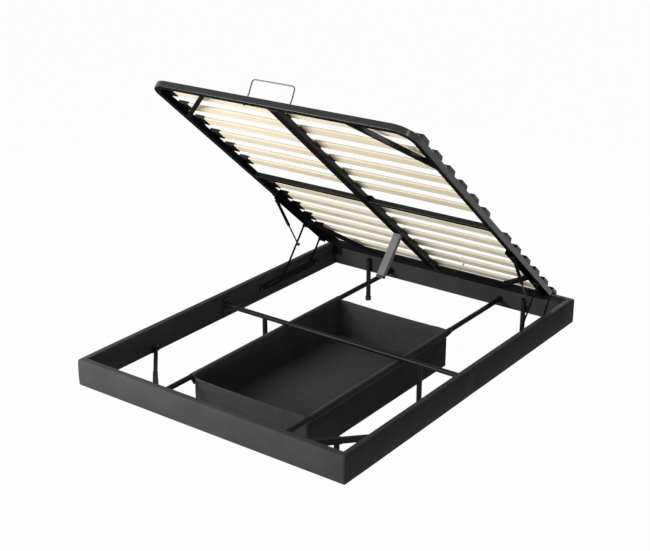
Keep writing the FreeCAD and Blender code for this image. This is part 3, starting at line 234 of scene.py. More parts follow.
class GroupBuilder:
    """Builds each shader group once."""

    TONE_LOW = 0.3
    TONE_HIGH = 0.7
    PLAIN_ROUGHNESS = 0.5

    def __init__(self) -> None:
        """Start with no group built."""
        self.made: dict[Pattern, Tree] = {}
        self.fills = {Pattern.CLOUD_AND_SKIN: self.mottle, Pattern.PEBBLED_LEATHER: self.pebble,
                      Pattern.PLAIN_WEAVE: self.weave, Pattern.STRAIGHT_GRAIN: self.timber}

    def get(self, pattern: Pattern) -> Tree:
        """The group of a pattern, built on first use.

        Args:
            pattern: The pattern.

        Returns:
            The group's tree.
        """
        if pattern not in self.made:
            tree = bpy.data.node_groups.new(pattern.name.lower(), "ShaderNodeTree")
            tree.interface.new_socket("Vector", in_out="INPUT", socket_type="NodeSocketVector")
            for name, value in pattern.value.items():
                socket = tree.interface.new_socket(name, in_out="INPUT", socket_type="NodeSocketFloat")
                socket.default_value = value
            graph = Graph(tree)
            outputs = self.fills[pattern](graph, graph.add("NodeGroupInput"))
            for name in outputs:
                tree.interface.new_socket(name, in_out="OUTPUT", socket_type="NodeSocketFloat")
            graph.put(graph.add("NodeGroupOutput"), **outputs)
            self.made[pattern] = tree
        return self.made[pattern]

    def cloud(self, graph: Graph, vector: Socket, scale: object) -> Socket:
        """A slow tone that wanders over the whole range."""
        slow = graph.noise(vector, scale, 3.0, self.PLAIN_ROUGHNESS)
        return graph.remap(slow, self.TONE_LOW, self.TONE_HIGH)

    def mottle(self, graph: Graph, given: Node) -> dict[str, Socket]:
        """Cloudy tone with a fine skin, used by paint and plastic.

        Args:
            graph: The group's graph.
            given: Its input node.

        Returns:
            The socket of each output.
        """
        vector = given.outputs["Vector"]
        skin = graph.noise(vector, given.outputs["Skin"], 1.0, self.PLAIN_ROUGHNESS)
        return {"Tone": self.cloud(graph, vector, given.outputs["Cloud"]), "Height": skin}

    def pebble(self, graph: Graph, given: Node) -> dict[str, Socket]:
        """Pebbled leather: cells with creases between them and a slow tone.

        Args:
            graph: The group's graph.
            given: Its input node.

        Returns:
            The socket of each output.
        """
        crease_width, wrinkles, wrinkle_share, crease_share = 0.22, 46.0, 0.6, 0.4
        vector = given.outputs["Vector"]
        cells = graph.add("ShaderNodeTexVoronoi", feature="DISTANCE_TO_EDGE")
        graph.put(cells, Vector=vector, Scale=given.outputs["Cells"])
        crease = graph.remap(cells.outputs["Distance"], 0.0, crease_width, 1.0, 0.0)
        wrinkle = graph.times(graph.noise(vector, wrinkles, 3.0), wrinkle_share)
        height = graph.math("SUBTRACT", wrinkle, graph.times(crease, crease_share))
        tone = self.cloud(graph, vector, given.outputs["Tone Scale"])
        return {"Tone": tone, "Crease": crease, "Height": height}

    def weave(self, graph: Graph, given: Node) -> dict[str, Socket]:
        """Plain weave on a coordinate in metres, with uneven threads.

        Args:
            graph: The group's graph.
            given: Its input node.

        Returns:
            The socket of each output.
        """
        thread_long, thread_thin, slub_share, weave_share = 6.0, 160.0, 0.5, 0.25
        tone_low, tone_high = 0.3, 0.85
        vector = given.outputs["Vector"]
        split = graph.put(graph.add("ShaderNodeSeparateXYZ"), Vector=vector)
        turns = graph.times(given.outputs["Threads"], 2 * math.pi)
        warp = graph.math("SINE", graph.times(split.outputs["X"], turns))
        weft = graph.math("SINE", graph.times(split.outputs["Y"], turns))
        height = graph.remap(graph.times(warp, weft), -1.0, 1.0)
        along = graph.noise(graph.scaled(vector, (thread_long, thread_thin, 1.0)), 1.0, 3.0)
        across = graph.noise(graph.scaled(vector, (thread_thin, thread_long, 1.0)), 1.0, 3.0)
        slub = graph.times(graph.math("ADD", along, across), given.outputs["Slub"])
        tone = graph.math("ADD", graph.times(slub, slub_share), graph.times(height, weave_share))
        return {"Tone": graph.remap(tone, tone_low, tone_high), "Height": height}

    def timber(self, graph: Graph, given: Node) -> dict[str, Socket]:
        """Straight grain along the first axis of the coordinate, with darker pores and slow bands.

        Args:
            graph: The group's graph.
            given: Its input node.

        Returns:
            The socket of each output.
        """
        band_scale, fine_scale, band_share, fine_share = (1.6, 60.0, 60.0), (9.0, 620.0, 620.0), 0.65, 0.35
        tone_low, tone_high, pore_low, pore_high = 0.34, 0.66, 0.58, 0.72
        vector = given.outputs["Vector"]
        band = graph.noise(graph.scaled(vector, band_scale), 1.0, 3.0)
        fine = graph.noise(graph.scaled(vector, fine_scale), 1.0, 2.0)
        tone = graph.math("ADD", graph.times(band, band_share), graph.times(fine, fine_share))
        pore = graph.remap(fine, pore_low, pore_high)
        return {"Tone": graph.remap(tone, tone_low, tone_high), "Pore": pore, "Height": fine}


GROUPS = GroupBuilder()


def grey(level: float, blue: float = 0.0005) -> Color:
    """A near-neutral dark colour, with a little more blue."""
    return level, level, level + blue


@dataclass(frozen=True)
class Finish:
    """A surface finish: colours, gloss and relief, with a material made from them."""

    DEPTH: ClassVar[float] = 0.2 * MM

    name: str
    dark: Color
    light: Color
    rough: tuple[float, float]
    relief: float
    specular: float = 0.5
    metallic: float = 0.0
    coat: float = 0.0
    coat_rough: float = 0.25

    def start(self) -> tuple[Material, Graph, Node, Socket]:
        """Make an empty material with its shader.

        Returns:
            The material, its graph, the shader and the object coordinate.
        """
        material = bpy.data.materials.new(self.name)
        material.use_nodes = True
        graph = Graph(material.node_tree)
        shader = material.node_tree.nodes["Principled BSDF"]
        graph.put(shader, Specular_IOR_Level=self.specular, Metallic=self.metallic)
        place = graph.add("ShaderNodeTexCoord").outputs["Object"]
        return material, graph, shader, place

    def bump(self, graph: Graph, shader: Node, height: Socket) -> None:
        """Give the shader a normal bumped by a height between nought and one."""
        bump = graph.put(graph.add("ShaderNodeBump"), Strength=self.relief, Distance=self.DEPTH,
                         Height=height)
        graph.put(shader, Normal=bump.outputs[0])

    def group(self, graph: Graph, pattern: Pattern, **inputs: object) -> Node:
        """Place the shared group of a pattern in the material."""
        return graph.put(graph.add("ShaderNodeGroup", node_tree=GROUPS.get(pattern)), **inputs)

    def toned(self, graph: Graph, shader: Node, tone: Socket) -> None:
        """Let a tone lead the shader from dark to light and from its low to its high roughness."""
        graph.put(shader, Base_Color=graph.mix(tone, self.dark, self.light),
                  Roughness=graph.remap(tone, 0.0, 1.0, *self.rough))

    def material(self) -> Material:
        """Build the material."""
        raise NotImplementedError


@dataclass(frozen=True)
class Paint(Finish):
    """Powder coat or moulded plastic: a cloudy tone under a fine skin."""

    rough: tuple[float, float] = (0.4, 0.5)
    relief: float = 0.10
    specular: float = 0.0
    coat_rough: float = 0.3
    cloud: float = 7.0
    skin: float = 700.0

    def material(self) -> Material:
        """Build the material, its coat left off on faces marked for painted shade.

        Returns:
            The material.
        """
        material, graph, shader, place = self.start()
        mottle = self.group(graph, Pattern.CLOUD_AND_SKIN, Vector=place, Cloud=self.cloud, Skin=self.skin)
        self.toned(graph, shader, mottle.outputs["Tone"])
        self.bump(graph, shader, mottle.outputs["Height"])
        if self.coat:
            # Painted shade: faces marked as looking down or inward get no coat and render darker.
            sheltered = graph.add("ShaderNodeAttribute", attribute_name=PAINTED_SHADE).outputs["Fac"]
            graph.put(shader, Coat_Weight=graph.remap(sheltered, 0.0, 1.0, self.coat, 0.0),
                      Coat_Roughness=self.coat_rough)
        return material


@dataclass(frozen=True)
class Leather(Finish):
    """Pebbled cover over thin foam."""

    DEPTH: ClassVar[float] = 0.6 * MM

    # Colour of the painted shade in the creases between the pebbles.
    crease: Color = (0.006, 0.006, 0.006)
    crease_share: float = 0.35

    def material(self) -> Material:
        """Build the material, with painted shade darkening the creases between the pebbles.

        Returns:
            The material.
        """
        material, graph, shader, place = self.start()
        pebble = self.group(graph, Pattern.PEBBLED_LEATHER, Vector=place)
        tone = pebble.outputs["Tone"]
        base = graph.mix(tone, self.dark, self.light)
        # Painted shade: the creases are darkened towards the crease colour.
        crease_shade = graph.times(pebble.outputs["Crease"], self.crease_share)
        graph.put(shader, Base_Color=graph.mix(crease_shade, base, self.crease),
                  Roughness=graph.remap(tone, 0.0, 1.0, *self.rough))
        self.bump(graph, shader, pebble.outputs["Height"])
        return material


@dataclass(frozen=True)
class Cloth(Finish):
    """Woven cloth on the piece's own UV map, in metres."""

    DEPTH: ClassVar[float] = 0.5 * MM

    threads: float = 420.0
    sheen: float = 0.08
    sheen_rough: float = 0.5

    def material(self) -> Material:
        """Build the material.

        Returns:
            The material.
        """
        material, graph, shader, _ = self.start()
        flat = graph.add("ShaderNodeUVMap", uv_map=CLOTH_MAP).outputs["UV"]
        weave = self.group(graph, Pattern.PLAIN_WEAVE, Vector=flat, Threads=self.threads)
        self.toned(graph, shader, weave.outputs["Tone"])
        graph.put(shader, Sheen_Weight=self.sheen, Sheen_Roughness=self.sheen_rough)
        self.bump(graph, shader, weave.outputs["Height"])
        return material


@dataclass(frozen=True)
class Ply(Finish):
    """Pale lacquered ply, its grain along the slat."""

    pore: Color = (0.46, 0.34, 0.20)
    # The edge has its own colour, and the upper rounding a darker one.
    edge: Color = (0.80, 0.71, 0.51)
    arris: Color = (0.46, 0.39, 0.29)
    pore_share: float = 0.35
    edge_share: float = 0.2

    def material(self) -> Material:
        """Build the material: veneer, edge or rounding, by the way a face looks; the upper rounding is
        coloured darker.

        Returns:
            The material.
        """
        material, graph, shader, place = self.start()
        deck = graph.scaled(place, (1.0, 1.0, 1.0), (DECK_TILT, 0.0, 0.0))
        timber = self.group(graph, Pattern.STRAIGHT_GRAIN, Vector=deck)
        tone, pore = timber.outputs["Tone"], timber.outputs["Pore"]
        base = graph.mix(tone, self.dark, self.light)
        veneer = graph.mix(graph.times(pore, self.pore_share), base, self.pore)
        edge = graph.mix(graph.times(pore, self.edge_share), self.edge, base)
        layer = graph.add("ShaderNodeAttribute", attribute_name=SLAT_FACE).outputs["Fac"]
        edged = graph.mix(graph.remap(layer, 0.0, 1.0), veneer, edge)
        low, high = self.rough
        graph.put(shader, Base_Color=graph.mix(graph.remap(layer, 1.0, 2.0), edged, self.arris),
                  Roughness=graph.remap(tone, 0.0, 1.0, high, low))
        self.bump(graph, shader, timber.outputs["Height"])
        return material


class Wardrobe:
    """Every finish of the bed, with its material made on first use."""

    FINISHES: dict[Look, Finish] = {
        Look.LEATHER: Leather("black_faux_leather", grey(0.044, 0.001), grey(0.058, 0.001),
                              rough=(0.42, 0.52), relief=0.35, specular=0.015),
        Look.TUBE: Paint("satin_black_tube", grey(0.008), grey(0.014), coat=0.2),
        Look.DECK: Paint("gloss_black_deck", grey(0.006), grey(0.011), coat=0.85, coat_rough=0.2),
        Look.BAR: Paint("satin_black_bars", grey(0.006), grey(0.011), coat=0.4, coat_rough=0.25),
        Look.WIRE: Paint("bright_black_wire", grey(0.03, 0.001), grey(0.05, 0.001), rough=(0.3, 0.4),
                         relief=0.05, specular=0.3, coat=1.0, coat_rough=0.15),
        Look.LEG: Paint("satin_grey_leg", grey(0.15, 0.0), grey(0.19, 0.0), rough=(0.38, 0.48), specular=0.4),
        Look.MECHANISM: Paint("black_mechanism", grey(0.004, 0.0004), grey(0.008, 0.0004), relief=0.12,
                              coat=0.06),
        Look.ROD: Paint("nitrided_rod", grey(0.012), grey(0.02), rough=(0.3, 0.4), relief=0.02, specular=0.05,
                        coat=0.12),
        Look.SCREW: Paint("blackened_screw", grey(0.05, 0.002), grey(0.08, 0.003), rough=(0.3, 0.42),
                          relief=0.05, specular=0.5, metallic=0.9),
        Look.NUT: Paint("blackened_nut", grey(0.010), grey(0.018), rough=(0.35, 0.45), relief=0.05,
                        specular=0.1, coat=0.2),
        Look.THREAD: Paint("sewing_thread", grey(0.05, 0.001), grey(0.09, 0.002), rough=(0.7, 0.85),
                           relief=0.3, specular=0.1, skin=2600.0),
        Look.SLAT: Ply("pale_ply", (0.69, 0.585, 0.41), (0.83, 0.73, 0.55), rough=(0.36, 0.5), relief=0.12,
                       specular=0.2),
        Look.HOLDER: Paint("moulded_holder", grey(0.007), grey(0.014), rough=(0.42, 0.55), relief=0.25,
                           coat=0.6, coat_rough=0.35, cloud=20.0, skin=1100.0),
        Look.CLOTH: Cloth("woven_box_cloth", grey(0.021), grey(0.062, 0.001), rough=(0.75, 0.92), relief=0.5,
                          specular=0.02),
    }

    def __init__(self) -> None:
        """Start with no material made."""
        self.materials: dict[Look, Material] = {}

    def dress(self, piece: Piece, look: Look) -> None:
        """Give a piece or a CAD node the material of a finish.

        Args:
            piece: The object to dress.
            look: The finish.
        """
        if look not in self.materials:
            self.materials[look] = self.FINISHES[look].material()
        piece.data.materials.clear()
        piece.data.materials.append(self.materials[look])


WARDROBE = Wardrobe()


def settle(name: str, shape: Shape, look: Look, body: str,
           smooth_angle: float = 40.0) -> Piece:
    """Turn a finished shape into a piece that rides on a body.

    Args:
        name: Name of the piece.
        shape: The shape, freed here.
        look: Its finish.
        body: Name of the body that carries it.
        smooth_angle: Edges sharper than this many degrees stay crisp.

    Returns:
        The new piece.
    """
    mesh = bpy.data.meshes.new(name)
    shape.to_mesh(mesh)
    shape.free()
    mesh.shade_smooth()
    mesh.set_sharp_from_angle(angle=math.radians(smooth_angle))
    piece = bpy.data.objects.new(name, mesh)
    bpy.context.scene.collection.objects.link(piece)
    WARDROBE.dress(piece, look)
    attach(piece, body)
    LOG.info("built %s with %d faces", name, len(mesh.polygons))
    return piece


def add_block(shape: Shape, sides: Iterable[Vector], middle: Vector) -> list[bmesh.types.BMVert]:
    """Add a block to a shape.

    Args:
        shape: Mesh the block is added to.
        sides: Its three edges.
        middle: Where its middle lies.

    Returns:
        Its corners.
    """
    place = Matrix(sides).transposed().to_4x4()
    place.translation = middle
    return bmesh.ops.create_cube(shape, size=1.0, matrix=place)["verts"]


def rounded(shape: Shape, edges: list[bmesh.types.BMEdge], width: float, segments: int,
            clamped: bool = False) -> list[bmesh.types.BMFace]:
    """Round edges of a shape.

    Args:
        shape: The shape.
        edges: The edges to round.
        width: How far the rounding reaches.
        segments: Steps of the rounding.
        clamped: Whether roundings that meet are held back.

    Returns:
        The faces of the rounding.
    """
    made = bmesh.ops.bevel(shape, geom=edges, offset=width, offset_type="OFFSET", segments=segments,
                           profile=0.5, affect="EDGES", material=-1, clamp_overlap=clamped)
    return made["faces"]


def cuts(shape: Shape, normal: Vector, low: float, high: float, pitch: float) -> None:
    """Cut a shape into strips by evenly spaced planes.

    Args:
        shape: The shape to cut.
        normal: Direction across the strips.
        low: Where the shape starts along it.
        high: Where it ends.
        pitch: About how wide a strip is.
    """
    count = max(1, round((high - low) / pitch))
    for number in range(1, count):
        at = normal * (low + (high - low) * number / count)
        everything = shape.verts[:] + shape.edges[:] + shape.faces[:]
        bmesh.ops.bisect_plane(shape, geom=everything, plane_co=at, plane_no=normal, dist=1e-6)


def weighted(piece: Piece) -> None:
    """Let the large faces of a piece lead its shading."""
    piece.modifiers.new("even_shading", "WEIGHTED_NORMAL").keep_sharp = True


def flat_map(piece: Piece) -> None:
    """Give a cloth piece a UV map in metres, laid on each face's nearest plane.

    Args:
        piece: The cloth piece.
    """
    layer = piece.data.uv_layers.new(name=CLOTH_MAP)
    for face in piece.data.polygons:
        normal = [abs(part) for part in face.normal]
        drop = normal.index(max(normal))
        first, second = [axis for axis in range(3) if axis != drop]
        for corner in face.loop_indices:
            co = piece.data.vertices[piece.data.loops[corner].vertex_index].co
            layer.data[corner].uv = (co[first], co[second])


class Side(Enum):
    """Which way the outer face of a rail looks."""

    FOOT = (0.0, -1.0)
    HEAD = (0.0, 1.0)
    LEFT = (-1.0, 0.0)
    RIGHT = (1.0, 0.0)

    @property
    def outward(self) -> Vector:
        """The direction that the rail's outer face looks."""
        return Vector((*self.value, 0.0))


@dataclass
class PaddedRail:
    """An upholstered board: thin foam over a straight rail, its cover drawn tight."""

    EDGE_STEPS: ClassVar[int] = 5
    NEAR: ClassVar[float] = MM

    node: str
    side: Side
    edge: float = 11 * MM
    back_edge: float = 3 * MM
    end_edge: float = 5 * MM
    crown: float = 8.0 * MM
    crown_at_end: float = 0.35
    top_crown: float = 1.2 * MM
    wander_share: float = 0.25
    wander_run: float = 4.0
    wander_rise: float = 0.7
    wander_seed: float = 310.0
    fold: float = 0.45 * MM
    fold_turn: float = 210.0
    fold_slant: float = 2.2
    fold_reach: float = 90 * MM
    pitch: float = 32 * MM

    def __post_init__(self) -> None:
        """Read where the rail lies from the frame."""
        self.low, self.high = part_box(self.node)
        self.centre = (self.low + self.high) / 2
        self.outward = self.side.outward
        self.run = Vector((abs(self.outward.y), abs(self.outward.x), 0.0))
        half = (self.high - self.low) / 2
        self.long_half = abs(half.dot(self.run))
        self.thick_half = abs(half.dot(self.outward))
        self.tall_half = half.z

    def build(self) -> None:
        """Model the rail in the space of its node."""
        shape = bmesh.new()
        add_block(shape, Matrix.Diagonal(self.high - self.low), self.centre)
        self.round_edges(shape)
        cuts(shape, self.run, self.low.dot(self.run), self.high.dot(self.run), self.pitch)
        cuts(shape, Vector((0, 0, 1)), self.low.z, self.high.z, self.pitch / 2)
        self.swell(shape)
        name = self.node.replace("rail", "padded_rail")
        piece = settle(name, shape, Look.LEATHER, "base", smooth_angle=60.0)
        weighted(piece)
        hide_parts(self.node)

    def round_edges(self, shape: Shape) -> None:
        """Round the outer edges over the foam, and the others a little.

        Args:
            shape: The block of the rail.
        """
        full_width = self.side in (Side.FOOT, Side.HEAD)
        groups: dict[float, list[bmesh.types.BMEdge]] = {self.edge: [], self.back_edge: [], self.end_edge: []}
        for edge in shape.edges:
            middle = (edge.verts[0].co + edge.verts[1].co) / 2 - self.centre
            at_end = abs(middle.dot(self.run)) > self.long_half - self.NEAR
            outside = middle.dot(self.outward) > self.thick_half - self.NEAR
            inside = middle.dot(self.outward) < -self.thick_half + self.NEAR
            if inside:
                groups[self.back_edge].append(edge)
            elif at_end and not full_width:
                groups[self.end_edge].append(edge)
            elif outside or at_end:
                groups[self.edge].append(edge)
        for width, edges in groups.items():
            alive = [edge for edge in edges if edge.is_valid]
            if alive:
                rounded(shape, alive, width, self.EDGE_STEPS, clamped=True)

    def swell(self, shape: Shape) -> None:
        """Crown the faces over the foam and pucker the cover near its ends.

        Args:
            shape: The rounded rail.
        """
        for vert in shape.verts:
            place = vert.co - self.centre
            along = place.dot(self.run)
            up = place.z / self.tall_half
            out = place.dot(self.outward) / self.thick_half
            full = min(1.0, (self.long_half - abs(along)) / self.fold_reach)
            outer = max(0.0, out)
            belly = (1 - up * up) * outer * (self.crown_at_end + (1 - self.crown_at_end) * full)
            wander = noise.noise(Vector((along * self.wander_run, up * self.wander_rise,
                                         self.thick_half * self.wander_seed)))
            fold = math.sin(along * self.fold_turn + self.fold_slant * up) * (1 - full) * self.fold * outer
            vert.co += self.outward * (self.crown * belly * (1 + self.wander_share * wander) + fold)
            vert.co.z += self.top_crown * max(0.0, up) * (1 - out * out) * full


@dataclass
class StorageBox:
    """Cloth box hung on the two long tubes, stiffened by a board in its floor."""

    CORNER_STEPS: ClassVar[int] = 4
    FLOOR_STEPS: ClassVar[int] = 3
    ARC_START: ClassVar[float] = 1.08 * math.pi
    ARC_TURN: ClassVar[float] = 1.30 * math.pi
    ARC_STEPS: ClassVar[int] = 20
    FLAP_STEPS: ClassVar[int] = 5
    BAND_STEPS: ClassVar[int] = 52
    FACES_UP: ClassVar[float] = 0.9

    cloth: float = 1.6 * MM
    corner: float = 12 * MM
    floor_corner: float = 9 * MM
    pitch: float = 24 * MM
    rim_sag: float = 5 * MM
    belly: float = 4 * MM
    belly_mean: float = 0.7
    belly_swing: float = 0.9
    belly_power: float = 0.8
    rib_scale: tuple[float, float, float] = (5.0, 3.0, 9.0)
    side_from: float = 0.96
    end_from: float = 0.98
    pleat: float = 2.4 * MM
    pleat_from: float = 0.55
    pleat_turn: float = 26.0
    pleat_slant: float = 0.45
    sleeve_slack: float = 0.72 * MM
    slack_on_top: float = 0.25
    ripple_run: float = 16.0
    ripple_rise: float = 40.0
    ripple_seed: tuple[float, float] = (7.0, 2.0)
    hem_height: float = 14 * MM
    hem_off: float = 1.84 * MM
    board_inset: float = 7 * MM
    board_low: float = 7.3 * MM
    board_high: float = 9.2 * MM
    board_round: float = 0.4
    seam_drop: float = 36 * MM
    stitch_pitch: float = 8 * MM
    stitch_length: float = 4.96 * MM
    stitch_thick: float = 0.9 * MM
    stitch_drop: float = 11.2 * MM
    stitch_off: tuple[float, float] = (3.68 * MM, -1.2 * MM)

    def __post_init__(self) -> None:
        """Read where the box hangs from the frame."""
        tube_low, tube_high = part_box("long_tube_right")
        side_low, side_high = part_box("box_side_right")
        front_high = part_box("box_front")[1]
        self.front = front_high.y - self.cloth
        self.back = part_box("box_back")[0].y + self.cloth
        self.half = side_low.x + self.cloth / 2
        self.rim = front_high.z
        self.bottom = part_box("box_floor")[0].z + self.cloth / 2
        self.long = self.back - self.front
        self.tall = self.rim - self.bottom
        self.middle = (self.back + self.front) / 2
        self.tube = Vector(((tube_low.x + tube_high.x) / 2, 0.0, (tube_low.z + tube_high.z) / 2))
        self.sleeve_radius = (side_high.x - self.tube.x) - self.cloth / 2
        self.hem_run = (side_low.y, side_high.y)

    def build(self) -> None:
        """Model the shell, its hems and stitches and its floor board."""
        shell = self.shell()
        sleeves = [self.sleeve("left", -1.0), self.sleeve("right", 1.0)]
        bands = [self.band("front", self.front, -1.0), self.band("back", self.back, 1.0)]
        board = self.board()
        self.stitches()
        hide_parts("box_front", "box_back")
        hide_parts("box_side_left")
        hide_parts("box_side_right")
        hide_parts("box_floor")

    def ease(self, place: Vector) -> Vector:
        """How far the cloth hangs away from the taut box at a point.

        Args:
            place: A point of the taut box.

        Returns:
            The shift of that point.
        """
        across = place.x / self.half
        along = 2 * (place.y - self.middle) / self.long
        up = (place.z - self.bottom) / self.tall
        at_side = max(0.0, (abs(across) - self.side_from) / (1 - self.side_from))
        at_end = max(0.0, (abs(along) - self.end_from) / (1 - self.end_from))
        loose = math.sin(math.pi * min(1.0, max(0.0, up))) ** self.belly_power
        rib = noise.noise(place * Vector(self.rib_scale))
        swell = loose * self.belly * (self.belly_mean + self.belly_swing * rib)
        near_corner = max(0.0, abs(across) - self.pleat_from) / (1 - self.pleat_from)
        pleats = math.sin(self.pleat_turn * (abs(across) + self.pleat_slant * up))
        pull = pleats * near_corner * up * self.pleat
        shift = Vector((0.0, 0.0, 0.0))
        shift.x = math.copysign(1, across) * at_side * (1 - along ** 4) * swell
        shift.y = math.copysign(1, along) * at_end * ((1 - across ** 4) * swell + pull)
        shift.z = -at_end * max(0.0, up) ** 2 * (1 - across * across) * self.rim_sag
        return shift

    def sewn(self, name: str, shape: Shape) -> Piece:
        """Turn a finished sheet into a piece of cloth.

        Args:
            name: Name of the piece.
            shape: The sheet, freed here.

        Returns:
            The piece, with its UV map and its thickness.
        """
        piece = settle(name, shape, Look.CLOTH, "base", smooth_angle=180.0)
        flat_map(piece)
        modifier = piece.modifiers.new("cloth", "SOLIDIFY")
        modifier.thickness = self.cloth
        modifier.offset = 0.0
        return piece

    def shell(self) -> Piece:
        """One cut of cloth: floor and four walls with soft corners, slack between the tubes.

        Returns:
            The shell.
        """
        size = Vector((2 * self.half, self.long, self.tall))
        shape = bmesh.new()
        add_block(shape, Matrix.Diagonal(size), Vector((0.0, self.middle, (self.rim + self.bottom) / 2)))
        lid = [face for face in shape.faces if face.normal.z > self.FACES_UP]
        bmesh.ops.delete(shape, geom=lid, context="FACES_ONLY")
        upright = [edge for edge in shape.edges if abs(edge.verts[0].co.z - edge.verts[1].co.z) > size.z / 2]
        rounded(shape, upright, self.corner, self.CORNER_STEPS)
        foot = [edge for edge in shape.edges if max(vert.co.z for vert in edge.verts) < self.bottom + MM
                and len(edge.link_faces) == 2]
        rounded(shape, foot, self.floor_corner, self.FLOOR_STEPS)
        cuts(shape, Vector((1, 0, 0)), -self.half, self.half, self.pitch)
        cuts(shape, Vector((0, 1, 0)), self.front, self.back, self.pitch)
        cuts(shape, Vector((0, 0, 1)), self.bottom, self.rim, self.pitch)
        for vert in shape.verts:
            vert.co += self.ease(vert.co)
        return self.sewn("box_shell", shape)

    def section(self) -> list[Vector]:
        """Section of the right-hand hem pocket: most of a circle, then down to the seam.

        Returns:
            Its points.
        """
        points = []
        for number in range(self.ARC_STEPS + 1):
            angle = self.ARC_START - self.ARC_TURN * number / self.ARC_STEPS
            points.append(Vector((math.cos(angle), 0.0, math.sin(angle))) * self.sleeve_radius + self.tube)
        last = points[-1]
        seam = Vector((self.half + self.cloth, 0.0, self.rim - self.seam_drop))
        flap = [last.lerp(seam, number / self.FLAP_STEPS) for number in range(1, self.FLAP_STEPS + 1)]
        return points + flap

    def sleeve(self, name: str, side: float) -> Piece:
        """Hem pocket round a long tube, sewn to the wall below it.

        Args:
            name: Which tube it goes round.
            side: Plus one on the right, minus one on the left.

        Returns:
            The hem pocket.
        """
        shape = bmesh.new()
        near, far = self.hem_run
        shift, seed = self.ripple_seed
        start = [shape.verts.new((side * point.x, near, point.z)) for point in self.section()]
        row = [shape.edges.new(pair) for pair in zip(start, start[1:])]
        stations = round((far - near) / self.pitch)
        advance = Vector((0.0, (far - near) / stations, 0.0))
        for _ in range(stations):
            grown = bmesh.ops.extrude_edge_only(shape, edges=row)["geom"]
            fresh = [item for item in grown if isinstance(item, bmesh.types.BMVert)]
            row = [item for item in grown if isinstance(item, bmesh.types.BMEdge)
                   and all(vert in fresh for vert in item.verts)]
            bmesh.ops.translate(shape, vec=advance, verts=fresh)
        for vert in shape.verts:
            away = vert.co - Vector((side * self.tube.x, vert.co.y, self.tube.z))
            ripple = noise.noise(Vector((side * shift + vert.co.y * self.ripple_run,
                                         away.z * self.ripple_rise, seed)))
            below = min(1.0, max(0.0, -away.z / self.sleeve_radius))
            vert.co += away.normalized() * self.sleeve_slack * (self.slack_on_top + below) * ripple
        bmesh.ops.recalc_face_normals(shape, faces=shape.faces)
        return self.sewn("box_hem_" + name, shape)

    def band(self, name: str, y: float, facing: float) -> Piece:
        """Folded hem along the top of an end wall.

        Args:
            name: Which wall.
            y: Where the wall stands.
            facing: Minus one at the foot end, plus one at the head end.

        Returns:
            The hem.
        """
        shape = bmesh.new()
        bmesh.ops.create_grid(shape, x_segments=self.BAND_STEPS, y_segments=2, size=0.5)
        bmesh.ops.scale(shape, vec=(2 * (self.half - self.corner), self.hem_height, 1.0), verts=shape.verts)
        upright = Matrix.Rotation(math.pi / 2, 3, "X")
        bmesh.ops.rotate(shape, verts=shape.verts, cent=(0, 0, 0), matrix=upright)
        bmesh.ops.translate(shape, vec=(0.0, y, self.rim - self.hem_height / 2), verts=shape.verts)
        for vert in shape.verts:
            vert.co += self.ease(vert.co)
            vert.co.y += facing * self.hem_off
        bmesh.ops.recalc_face_normals(shape, faces=shape.faces)
        return self.sewn("box_band_" + name, shape)

    def stitches(self) -> None:
        """Thread along the hems of the two end walls, outside and inside."""
        shape = bmesh.new()
        reach = self.half - 2 * self.corner
        count = round(2 * reach / self.stitch_pitch)
        size = Vector((self.stitch_length, self.stitch_thick, self.stitch_thick))
        for y, facing in ((self.front, -1.0), (self.back, 1.0)):
            for off in self.stitch_off:
                for number in range(count):
                    place = Vector((-reach + 2 * reach * number / count, y, self.rim - self.stitch_drop))
                    place += self.ease(place)
                    place.y += facing * off
                    add_block(shape, Matrix.Diagonal(size), place)
        settle("box_stitches", shape, Look.THREAD, "base")

    def board(self) -> Piece:
        """Stiff panel wrapped in the same cloth, lying in the floor of the box.

        Returns:
            The board.
        """
        inset = 2 * self.board_inset
        size = Vector((2 * self.half - inset, self.long - inset, self.board_high - self.board_low))
        shape = bmesh.new()
        height = (self.board_low + self.board_high) / 2
        add_block(shape, Matrix.Diagonal(size), Vector((0.0, self.middle, height)))
        rounded(shape, shape.edges[:], size.z * self.board_round, self.FLOOR_STEPS)
        piece = settle("box_board", shape, Look.CLOTH, "base")
        flat_map(piece)
        return piece


def kept(node: str, look: Look) -> None:
    """Dress a CAD piece whose shape shows as it is."""
    WARDROBE.dress(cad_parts[node], look)
    LOG.info("dressed %s as %s", node, look.slot)


def cad_shape(node: str) -> Shape:
    """Copy the shape of a CAD piece, with each flat face in one.

    Args:
        node: Name of the CAD node.

    Returns:
        The copy.
    """
    shape = bmesh.new()
    shape.from_mesh(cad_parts[node].data)
    bmesh.ops.remove_doubles(shape, verts=shape.verts, dist=SAME_POINT)
    bmesh.ops.dissolve_limit(shape, angle_limit=FLAT_ANGLE, verts=shape.verts, edges=shape.edges)
    return shape


def eased(node: str, look: Look, body: str, radius: float) -> None:
    """Stand a piece with rounded edges in the place of a CAD piece.

    Args:
        node: Name of the CAD node.
        look: Its finish.
        body: Name of the body that carries it.
        radius: How far its sharp edges are rounded, nought where the CAD has rounded them.
    """
    piece = settle(node + "_eased", cad_shape(node), look, body)
    # Painted shade: deck faces that look down or inward are marked to lose their coat.
    if body == "deck":
        mark_faces(piece, PAINTED_SHADE, deck_painted_shade)
    if radius:
        rounding = piece.modifiers.new("rounded_edges", "BEVEL")
        rounding.width = radius
        rounding.segments = 2
        rounding.limit_method = "ANGLE"
        rounding.angle_limit = SHARP_ANGLE
    weighted(piece)
    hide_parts(node)


def mark_faces(piece: Piece, name: str, rule: Callable[[Vector, Vector], float]) -> None:
    """Store a value on every face of a piece, worked out from where it lies and the way it looks.

    Args:
        piece: The piece to mark.
        name: Name of the attribute.
        rule: Gives the value for a face's middle and normal.
    """
    layer = piece.data.attributes.new(name, "FLOAT", "FACE")
    for face in piece.data.polygons:
        layer.data[face.index].value = rule(face.center, face.normal)


